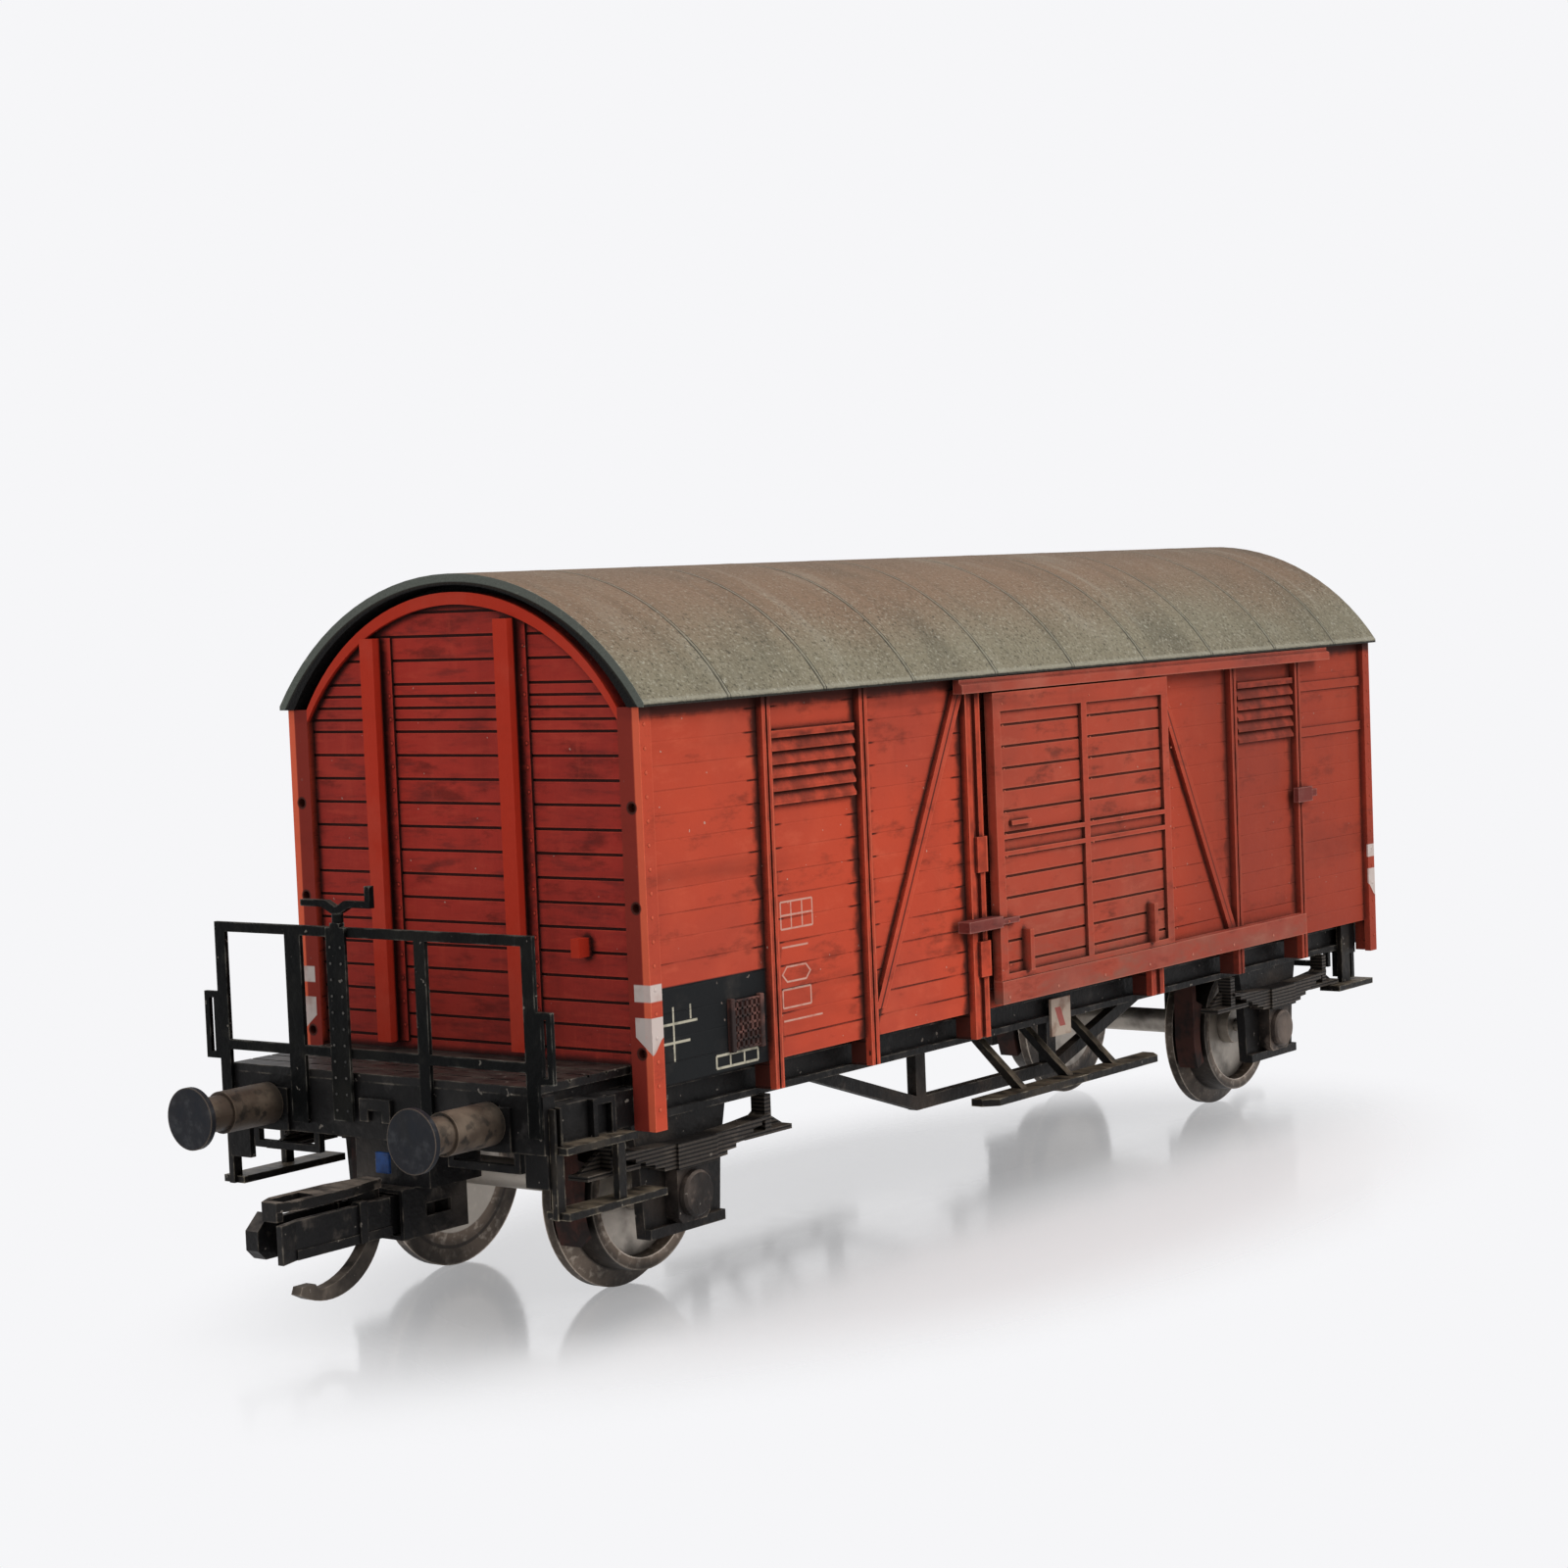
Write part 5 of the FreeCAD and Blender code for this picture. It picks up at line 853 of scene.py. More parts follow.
@dataclass(frozen=True)
class BlackMoulding:
    """Black moulded plastic with brown dust on its edges and tops, painted highlights on its edges
    and painted shade in its hollows.

    Attributes:
        name: the material's name.
        base: the bare plastic.
        dust: the dust on it.
        settled: how much dust clings everywhere.
        lying: how much dust lies on tops.
        rubbed: how far the edges are rubbed and lit with painted highlight.
        leaves: the height of one leaf where the piece is a spring, or 0.
        rub: the colour of the rubbed edges, which is also a painted highlight.
        chip: the colour of small chips.
        gloss: the strength of the reflection.
    """

    name: str = "black_plastic"
    base: Colour = (0.0050, 0.0042, 0.0040)
    dust: Colour = (0.110, 0.080, 0.062)
    settled: float = 0.3
    lying: float = 0.5
    rubbed: float = 0.7
    leaves: float = 0.0
    rub: Colour = (0.22, 0.19, 0.155)
    chip: Colour = (0.36, 0.32, 0.28)
    gloss: float = 0.16

    def make(self) -> bpy.types.Material:
        """Build the material.

        Returns:
            The finished material.
        """
        paint = PaintTree(self.name)
        cloud = paint.noise(210.0, 4.0)
        grain = paint.noise(2200.0, 2.0)
        mottle = paint.noise(800.0, 4.0)
        on_top = paint.facing_up().ramp(0.3, 0.95)
        drift = paint.noise(1500.0, 4.0, (1.0, 0.5, 1.0)).ramp(0.25, 0.75)
        # edge: rubbed edges with dust, and painted highlight.
        edge = paint.edge(0.12 * MM).ramp(0.25, 0.6)
        colour = paint.coated(
            self.base,
            (self.dust, cloud.ramp(0.48, 0.78) * self.settled),
            (self.dust, mottle.ramp(0.56, 0.76) * self.settled),
            (self.dust, on_top * drift * self.lying),
            # Painted shade: bare black in hollows, clear of dust.
            (self.base, paint.hollow(0.5 * MM).ramp(0.15, 0.6) * 0.9),
            (self.rub, edge * mottle.ramp(0.42, 0.66) * self.rubbed),
            (self.chip, paint.noise(2100.0, 2.0).ramp(0.71, 0.74) * 0.45),
        )
        height = grain * 0.8 + mottle * 0.5
        if self.leaves:
            line = paint.z.wrapped(self.leaves).ramp(0.015 * MM, 0.05 * MM, 1.0, 0.0)
            colour = paint.coated(colour, (self.base, line * 0.9), (self.dust, (1.0 - line) * 0.25))
            height = height - line * 2.0
        return paint.finish(colour, 0.34 + cloud * 0.3, height, 0.07 * MM,
                            Specular_IOR_Level=self.gloss)


@dataclass(frozen=True)
class WheelMetal:
    """Browned wheel metal with a rubbed rim, a dark tread, painted shadow on its outer ring and
    painted shade in its hollows.

    Attributes:
        name: the material's name.
        browned: the treated metal.
        bright: the rubbed metal.
        dark: the tread and the grease, and the painted shadow and shade.
        disc: the pale disc inside the rim.
        axle_place: how far the axles lie from the middle.
        axle_level: the level of the axles.
        disc_radius: how far the disc reaches.
        tread: the radii between which the tread lies.
    """

    name: str = "wheel_iron"
    browned: Colour = (0.17, 0.128, 0.098)
    bright: Colour = (0.72, 0.62, 0.52)
    dark: Colour = (0.016, 0.013, 0.011)
    disc: Colour = (0.56, 0.51, 0.45)
    axle_place: float = 29.2 * MM
    axle_level: float = 5.0 * MM
    disc_radius: float = 3.3 * MM
    tread: Pair = (3.98 * MM, 4.16 * MM)

    def make(self) -> bpy.types.Material:
        """Build the material.

        Returns:
            The finished material.
        """
        paint = PaintTree(self.name)
        radius = (abs(paint.x) - self.axle_place).diagonal(paint.z - self.axle_level)
        cloud = paint.noise(330.0, 4.0)
        brushed = paint.noise(2600.0, 3.0)
        rubbed = paint.edge(0.14 * MM).ramp(0.15, 0.5)
        # grimy: painted shadow over the outer ring, clear of its edges, with some mottle.
        grimy = radius.ramp(3.5 * MM, 3.9 * MM) * (1.0 - rubbed)
        colour = paint.coated(
            self.browned,
            (self.bright, brushed.ramp(0.5, 0.75) * 0.5),
            (self.disc, radius.ramp(self.disc_radius, self.disc_radius + 0.1 * MM, 1.0, 0.0) * 0.8),
            (self.bright, rubbed),
            (self.dark, radius.between(*self.tread, 0.03 * MM) * 0.75),
            (self.dark, grimy * cloud.ramp(0.3, 0.6, 0.35, 0.75)),
            (self.dark, cloud.ramp(0.45, 0.7) * 0.65),
            # Painted shade in hollows.
            (self.dark, paint.hollow(0.8 * MM).ramp(0.15, 0.7) * 0.8),
        )
        return paint.finish(colour, 0.36 + cloud * 0.25, brushed, 0.03 * MM, metal=0.7)


@dataclass(frozen=True)
class BufferPaint:
    """Brown, chipped buffer barrels with dark blue-grey heads.

    Attributes:
        name: the material's name.
        barrel: the paint of the barrels.
        pitted: the dark pits in that paint.
        root: the barrels' dark ends by the beams.
        head: the bare heads.
        cloudy: the mottled painted highlight on the heads.
        stained: the dark stains on the heads.
        worn: the scratches and rubbed edges.
        root_end: how far out the dark ends start to clear, and where they have cleared.
        head_start: how far out the heads begin.
    """

    name: str = "buffer_iron"
    barrel: Colour = (0.070, 0.050, 0.037)
    pitted: Colour = (0.012, 0.011, 0.010)
    root: Colour = (0.014, 0.013, 0.012)
    head: Colour = (0.007, 0.009, 0.014)
    cloudy: Colour = (0.050, 0.054, 0.060)
    stained: Colour = (0.006, 0.007, 0.009)
    worn: Colour = (0.25, 0.19, 0.14)
    root_end: Pair = (39.5 * MM, 41.0 * MM)
    head_start: float = 44.15 * MM

    def make(self) -> bpy.types.Material:
        """Build the material.

        Returns:
            The finished material.
        """
        paint = PaintTree(self.name)
        cloud = paint.noise(480.0, 5.0)
        grain = paint.noise(1500.0, 3.0)
        out = abs(paint.x)
        top = paint.facing_up().ramp(-0.2, 0.9) * 0.35
        head = paint.coated(
            self.head,
            # Mottled painted highlight on the heads.
            (self.cloudy, grain.ramp(0.5, 0.72) * 0.6),
            (self.stained, cloud.ramp(0.5, 0.3) * 0.8),
        )
        colour = paint.coated(
            self.barrel,
            (self.worn, cloud.ramp(0.45, 0.7) * 0.5),
            (self.pitted, grain.ramp(0.5, 0.36) * 0.8),
            (self.worn, top * cloud.ramp(0.35, 0.6)),
            (self.root, out.ramp(*self.root_end, 0.85, 0.0)),
            (head, out.ramp(self.head_start, self.head_start + 0.1 * MM) * 0.95),
            (self.worn, paint.edge(0.12 * MM).ramp(0.25, 0.65) * 0.75),
        )
        return paint.finish(colour, 0.42 + cloud * 0.2, cloud * 0.6 + grain * 0.5, 0.05 * MM,
                            metal=0.15, Specular_IOR_Level=0.18)


@dataclass(frozen=True)
class PlainPaint:
    """A dull paint of two tones that mottle each other; the second also gathers in hollows, as
    painted shade where it is the darker.

    Attributes:
        name: the material's name.
        first: one tone.
        second: the other tone.
        roughness: the roughness.
    """

    name: str
    first: Colour
    second: Colour
    roughness: float = 0.6

    def make(self) -> bpy.types.Material:
        """Build the material.

        Returns:
            The finished material.
        """
        paint = PaintTree(self.name)
        cloud = paint.noise(900.0, 4.0)
        colour = paint.coated(
            self.first,
            (self.second, cloud.ramp(0.4, 0.65)),
            # The second tone in hollows: painted shade where it is the darker tone.
            (self.second, paint.hollow(0.4 * MM).ramp(0.2, 0.7) * 0.7),
        )
        return paint.finish(colour, self.roughness, cloud, 0.03 * MM, Specular_IOR_Level=0.25)


@dataclass(frozen=True)
class PlatePaint(PlainPaint):
    """A pale blank plate with a red bar across it.

    Attributes:
        bar: the bar's colour.
        bar_half: half the bar's width.
        bar_reach: how far it reaches up and down from the plate's middle.
        bar_lean: how far it leans for each metre up.
        bar_shift: how far its middle lies from the plate's.
    """

    bar: Colour = (0.30, 0.035, 0.025)
    bar_half: float = 0.3 * MM
    bar_reach: float = 0.55 * MM
    bar_lean: float = 0.45
    bar_shift: float = -0.1 * MM

    def make(self) -> bpy.types.Material:
        """Build the material.

        Returns:
            The finished material.
        """
        paint = PaintTree(self.name)
        cloud = paint.noise(900.0, 4.0)
        low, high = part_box("right_label_plate")
        middle = (low + high) / 2
        up = paint.z - middle.z
        along = paint.x - middle.x + (paint.y > 0.0) * (2 * BODY_MIDDLE - 2 * paint.x)
        on_bar = (along + up * self.bar_lean).near(self.bar_shift, self.bar_half)
        colour = paint.coated(
            self.first,
            (self.second, cloud.ramp(0.42, 0.66)),
            (self.bar, on_bar * (abs(up) < self.bar_reach) * 0.9),
        )
        return paint.finish(colour, self.roughness, cloud, 0.03 * MM)


class Finish(Enum):
    """The finishes of the wagon, each made once."""

    SIDE = SidePaint("side_red", fresh=(0.60, 0.078, 0.037), faded=(0.48, 0.070, 0.040),
                     wash=(0.055, 0.017, 0.013), worn=(0.70, 0.130, 0.068), soot=0.75)
    DOOR = RedPaint("door_red", fresh=(0.48, 0.074, 0.041), faded=(0.32, 0.064, 0.042),
                    wash=(0.060, 0.022, 0.016), worn=(0.58, 0.150, 0.090), soot=1.0, dust=0.45)
    RAIL = RedPaint("rail_red", fresh=(0.44, 0.078, 0.046), faded=(0.34, 0.070, 0.048),
                    wash=(0.050, 0.019, 0.015), worn=(0.56, 0.20, 0.14), soot=0.7, dust=1.0,
                    low=15.0 * MM)
    END = EndPaint("end_red", fresh=(0.48, 0.043, 0.030), faded=(0.38, 0.037, 0.028),
                   wash=(0.022, 0.009, 0.008), worn=(0.60, 0.075, 0.045), soot=0.9)
    FITTING = RedPaint("fitting_red", fresh=(0.20, 0.044, 0.036), faded=(0.12, 0.036, 0.032),
                       wash=(0.020, 0.010, 0.010), worn=(0.42, 0.19, 0.16), soot=0.9)
    ROOF = RoofPaint()
    BLACK = BlackMoulding()
    BEAM = BlackMoulding("beam_black", (0.0050, 0.0047, 0.0048), (0.13, 0.12, 0.115),
                         settled=0.22, lying=0.4, rubbed=0.8, gloss=0.11)
    DECK = BlackMoulding("deck_black", (0.004, 0.0035, 0.0035), (0.085, 0.071, 0.060),
                         settled=0.3, lying=0.55, rubbed=1.0)
    STEP = BlackMoulding("step_black", (0.006, 0.005, 0.0045), (0.24, 0.19, 0.135),
                         settled=0.25, lying=0.75, rubbed=1.0, rub=(0.42, 0.36, 0.27))
    AXLEBOX = BlackMoulding("axlebox_black", (0.016, 0.0125, 0.011), (0.30, 0.23, 0.19),
                            settled=0.55, lying=0.7, rubbed=1.0, rub=(0.34, 0.27, 0.21))
    SPRING = BlackMoulding("spring_black", (0.007, 0.006, 0.006), (0.14, 0.112, 0.09),
                           settled=0.35, lying=0.5, rubbed=0.8, leaves=0.2 * MM)
    COUPLER = BlackMoulding("coupler_black", (0.0045, 0.0042, 0.0045), (0.17, 0.14, 0.12),
                            settled=0.42, lying=0.8, rubbed=1.0)
    LOOP = BlackMoulding("loop_black", (0.008, 0.007, 0.0065), (0.26, 0.21, 0.17),
                         settled=0.5, lying=0.85, rubbed=1.0, rub=(0.34, 0.28, 0.23))
    RAILING = BlackMoulding("railing_iron", (0.0022, 0.0025, 0.0026), (0.085, 0.080, 0.066),
                            settled=0.14, lying=0.7, rubbed=1.0, rub=(0.20, 0.19, 0.165),
                            gloss=0.06)
    WHEEL = WheelMetal()
    BUFFER = BufferPaint()
    BRAKE = PlainPaint("brake_rust", (0.050, 0.017, 0.012), (0.012, 0.007, 0.006), 0.75)
    BLUE = PlainPaint("blue_tongue", (0.012, 0.055, 0.20), (0.006, 0.024, 0.085), 0.45)
    STEEL = PlainPaint("ballast_grey", (0.42, 0.42, 0.43), (0.34, 0.34, 0.35), 0.4)
    PLATE = PlatePaint("pale_plate", (0.42, 0.34, 0.27), (0.22, 0.13, 0.09), 0.6)
    STUD = PlainPaint("stud_iron", (0.10, 0.095, 0.085), (0.02, 0.02, 0.02), 0.5)
    CARD = PlainPaint("card_brown", (0.022, 0.012, 0.011), (0.050, 0.024, 0.020), 0.8)
    CAGE = PlainPaint("rusted_cage", (0.020, 0.011, 0.010), (0.15, 0.065, 0.052), 0.7)

    @property
    def material(self) -> bpy.types.Material:
        """Give the finish's material, made the first time it is asked for."""
        return bpy.data.materials.get(self.value.name) or self.value.make()


# ---------------------------------------------------------------- repeated pieces

def placed(name: str, data: bpy.types.ID) -> bpy.types.Object:
    """Make an object and put it in the scene.

    Args:
        name: the object's name.
        data: the mesh, camera or lamp that it holds.

    Returns:
        The object.
    """
    thing = bpy.data.objects.new(name, data)
    bpy.context.scene.collection.objects.link(thing)
    return thing


def kept(name: str, mesh: bpy.types.Mesh, body: str) -> None:
    """Keep a mesh as a piece of the wagon.

    Args:
        name: the piece's name.
        mesh: its mesh, with its material.
        body: the body it rides on.
    """
    piece = placed(name, mesh)
    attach(piece, body)
    log.info("%s: %d faces", name, len(mesh.polygons))


class GrowTree(Tree):
    """A geometry tree with named inputs that ends in plain, painted mesh."""

    def __init__(self, name: str, **inputs: str) -> None:
        """Start a geometry tree.

        Args:
            name: the tree's name.
            inputs: the socket type of each of its inputs, by name. The finish is added.
        """
        group = bpy.data.node_groups.new(name, "GeometryNodeTree")
        super().__init__(group, "")
        inputs["finish"] = "Material"
        for label, kind in inputs.items():
            group.interface.new_socket(label, in_out="INPUT", socket_type=f"NodeSocket{kind}")
        group.interface.new_socket("Geometry", in_out="OUTPUT", socket_type="NodeSocketGeometry")
        sockets = group.nodes.new("NodeGroupInput").outputs
        self.given = {label: Wire(self, sockets[label]) for label in inputs}

    def line(self, count: Wire, step: Wire, **more: Wire) -> Wire:
        """Set points on a line.

        Args:
            count: how many points there are.
            step: from one point to the next.
            more: the line's other sockets.

        Returns:
            The points.
        """
        values = {name.replace("_", " "): value for name, value in more.items()}
        return self.add("GeometryNodeMeshLine", {"mode": "OFFSET"},
                        {"Count": count, "Offset": step, **values})

    def repeated(self, points: Wire, thing: Wire, **more: Wire) -> Wire:
        """Give instances of a thing on every point."""
        return self.add("GeometryNodeInstanceOnPoints",
                        values={"Points": points, "Instance": thing, **more})

    def bar(self, curve: Wire, width: Wire, height: Wire) -> Wire:
        """Lay a square-edged bar along a curve.

        Args:
            curve: the line the bar follows.
            width: the bar's width.
            height: the bar's height.

        Returns:
            The bar.
        """
        section = self.add("GeometryNodeCurvePrimitiveQuadrilateral",
                           values={"Width": width, "Height": height})
        return self.add("GeometryNodeCurveToMesh",
                        values={"Curve": curve, "Profile Curve": section, "Fill Caps": True})

    def close(self, geometry: Wire) -> None:
        """Realize the geometry and paint it with the tree's finish.

        Args:
            geometry: what the tree makes.
        """
        plain = self.add("GeometryNodeRealizeInstances", values={0: geometry})
        painted = self.add("GeometryNodeSetMaterial",
                           values={"Geometry": plain, "Material": self.given["finish"]})
        self.add("NodeGroupOutput", values={0: painted})


def grown(name: str, tree: GrowTree, finish: Finish, body: str, slot: str, **values: Any) -> None:
    """Run a geometry tree once and keep its plain mesh as a piece.

    Args:
        name: the piece's name.
        tree: the geometry tree.
        finish: the piece's finish.
        body: the body the piece rides on.
        slot: not used.
        values: what the tree's inputs hold, by name.
    """
    values["finish"] = finish.material
    seed = placed(name + "_seed", bpy.data.meshes.new(name + "_seed"))
    modifier = seed.modifiers.new("grow", "NODES")
    modifier.node_group = tree.tree
    for item in tree.tree.interface.items_tree:
        if item.in_out == "INPUT":
            modifier[item.identifier] = values[item.name]
    graph = bpy.context.evaluated_depsgraph_get()
    mesh = bpy.data.meshes.new_from_object(seed.evaluated_get(graph), depsgraph=graph)
    seed.modifiers.remove(modifier)
    bpy.data.objects.remove(seed)
    mesh.name = name
    kept(name, mesh, body)


def stud_rows() -> GrowTree:
    """Build the tree that sets rows of low round heads on a grid.

    Returns:
        The tree.
    """
    tree = GrowTree("stud_rows", start="Vector", step="Vector", count="Int", row_step="Vector",
                    rows="Int", size="Vector")
    given = tree.given
    row = tree.line(given["count"], given["step"], Start_Location=given["start"])
    spread = tree.repeated(tree.line(given["rows"], given["row_step"]), row)
    points = tree.add("GeometryNodeRealizeInstances", values={0: spread})
    head = tree.add("GeometryNodeMeshIcoSphere", values={"Radius": 1.0, "Subdivisions": 2})
    tree.close(tree.repeated(points, head, Scale=given["size"]))
    return tree


def roof_seams() -> GrowTree:
    """Build the tree that lays bands over the curved roof at a pitch.

    Returns:
        The tree.
    """
    tree = GrowTree("roof_seams", eave="Vector", crown="Vector", far_eave="Vector", step="Vector",
                    count="Int", width="Float", height="Float")
    given = tree.given
    arc = tree.add("GeometryNodeCurveArc", {"mode": "POINTS"}, {
        "Resolution": 48, "Start": given["eave"], "Middle": given["crown"],
        "End": given["far_eave"]})
    band = tree.bar(arc, given["width"], given["height"])
    tree.close(tree.repeated(tree.line(given["count"], given["step"]), band))
    return tree


def wire_cage() -> GrowTree:
    """Build the tree that crosses bars over a square standing along the wagon.

    Returns:
        The tree.
    """
    tree = GrowTree("wire_cage", size="Float", bars="Int", bar="Float", middle="Vector")
    given = tree.given
    grid = tree.add("GeometryNodeMeshGrid", values={
        "Size X": given["size"], "Size Y": given["size"],
        "Vertices X": given["bars"], "Vertices Y": given["bars"]})
    lines = tree.add("GeometryNodeMeshToCurve", values={0: grid})
    stood = tree.add("GeometryNodeTransform", values={
        "Geometry": tree.bar(lines, given["bar"], given["bar"]),
        "Translation": given["middle"], "Rotation": (math.pi / 2, 0.0, 0.0)})
    tree.close(stood)
    return tree


def block(name: str, low: Point, high: Point, finish: Finish) -> None:
    """Make a plain block, with rounded edges, that rides on the wagon.

    Args:
        name: the piece's name.
        low: its lowest corner.
        high: its highest corner.
        finish: its finish.
    """
    mesh = bpy.data.meshes.new(name)
    build = bmesh.new()
    bmesh.ops.create_cube(build, size=1.0)
    size = Vector(high) - Vector(low)
    middle = (Vector(high) + Vector(low)) / 2
    for corner in build.verts:
        corner.co = Vector(a * b for a, b in zip(corner.co, size)) + middle
    bmesh.ops.bevel(build, geom=list(build.edges), offset=min(size) * 0.2, segments=2,
                    profile=0.5, affect="EDGES")
    build.to_mesh(mesh)
    build.free()
    mesh.materials.append(finish.material)
    kept(name, mesh, "wagon")


@dataclass(frozen=True)
class Studs:
    """A grid of low round heads.

    Attributes:
        name: the piece's name.
        start: the first head's place.
        step: from one head to the next.
        count: how many heads there are in a row.
        row_step: from one row to the next.
        rows: how many rows there are.
        size: half the heads' sizes along the axes.
    """

    name: str
    start: Point
    step: Point
    count: int
    row_step: Point = (0.0, 0.0, 0.0)
    rows: int = 1
    size: Point = (0.10 * MM, 0.05 * MM, 0.10 * MM)

    def build(self, tree: GrowTree, finish: Finish, slot: str) -> None:
        """Make the heads as one piece on the wagon."""
        grown(self.name, tree, finish, "wagon", slot, start=self.start, step=self.step,
              count=self.count, row_step=self.row_step, rows=self.rows, size=self.size)


# ---------------------------------------------------------------- the wagon

class Side(Enum):
    """The sides of the wagon, each with its direction along Y."""

    RIGHT = -1
    LEFT = 1

    @property
    def label(self) -> str:
        """Give the side's name as the nodes spell it."""
        return self.name.lower()

    def face(self, node: str) -> float:
        """Give how far out a node reaches on this side."""
        low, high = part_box(node)
        return high.y if self is Side.LEFT else low.y


class End(Enum):
    """The ends of the wagon, each with its direction along X."""

    PLATFORM = -1
    REAR = 1


def dress(nodes: Nodes, kinds: Sequence[tuple[str, Finish]]) -> None:
    """Give CAD nodes their finishes.

    Args:
        nodes: every CAD node by name.
        kinds: a word and the finish of the nodes that have it in their names. Where two
            words fit, the first holds.
    """
    for name, node in nodes.items():
        finish = next((finish for word, finish in kinds if word in name), None)
        if finish is not None:
            for slot in node.material_slots:
                slot.material = finish.material
            log.info("dressed %s in %s", name, finish.name)


@dataclass
class Roof:
    """The roof with its seams.

    Attributes:
        seams: how many seams there are.
        width: a seam's width along the wagon.
        height: a seam's thickness.
        foot: the level of a seam's ends.
        inset: how far in from the eaves its ends lie.
        sunk: how far its middle line lies below the roof's top.
    """

    seams: int = 9
    width: float = 0.10 * MM
    height: float = 0.14 * MM
    foot: float = 28.7 * MM
    inset: float = 0.05 * MM
    sunk: float = 0.06 * MM

    def build(self, nodes: Nodes) -> None:
        """Dress the roof and lay its seams.

        Args:
            nodes: every CAD node by name.
        """
        dress(nodes, [("roof", Finish.ROOF)])
        low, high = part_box("roof")
        start, pitch = Finish.ROOF.value.first_seam, Finish.ROOF.value.seam_pitch
        grown("roof_seams", roof_seams(), Finish.ROOF, "wagon", "roof_paint",
              eave=(start, low.y + self.inset, self.foot),
              crown=(start, 0.0, high.z - self.sunk),
              far_eave=(start, high.y - self.inset, self.foot),
              step=(pitch, 0.0, 0.0), count=self.seams, width=self.width, height=self.height)


@dataclass
class CardHolder:
    """A card behind a wire cage, between two uprights, on the black panel of a side.

    Attributes:
        size: the cage's width and height.
        place: how far its middle lies from the side's left end.
        level: the level of its middle.
        bars: how many bars it has each way.
        bar: a bar's thickness.
        bar_out: how far out from the boards the bars lie.
        card_out: how far out the card reaches.
        upright: half an upright's width.
        upright_out: how far out the uprights reach.
        sunk: how far card and uprights reach into the boards.
    """

    size: float = 2.3 * MM
    place: float = 7.5 * MM
    level: float = 12.75 * MM
    bars: int = 7
    bar: float = 0.12 * MM
    bar_out: float = 0.17 * MM
    card_out: float = 0.12 * MM
    upright: float = 0.16 * MM
    upright_out: float = 0.30 * MM
    sunk: float = 0.02 * MM

    def build(self, side: Side) -> None:
        """Hang the holder on one side.

        Args:
            side: the side.
        """
        x = BODY_MIDDLE + side.value * (BODY_HALF - self.place)
        middle = (x, side.value * (BOARD_FACE + self.bar_out), self.level)
        grown(f"{side.label}_card_cage", wire_cage(), Finish.CAGE, "wagon", "brake_brown",
              size=self.size, bars=self.bars, bar=self.bar, middle=middle)
        half = self.size / 2
        self._block(side, "plate", x, half, half, self.card_out, Finish.CARD)
        for place, name in ((-half, "front"), (half, "back")):
            self._block(side, name, x + place, self.upright, half + self.upright,
                        self.upright_out, Finish.CAGE)

    def _block(self, side: Side, name: str, x: float, half_width: float, half_height: float,
               out: float, finish: Finish) -> None:
        """Set a block on the boards.

        Args:
            side: the side.
            name: the last word of the block's name.
            x: its middle along the wagon.
            half_width: half its width.
            half_height: half its height.
            out: how far out from the boards it reaches.
            finish: its finish.
        """
        near, far = sorted(side.value * (BOARD_FACE + reach) for reach in (-self.sunk, out))
        block(f"{side.label}_card_{name}", (x - half_width, near, self.level - half_height),
              (x + half_width, far, self.level + half_height), finish)


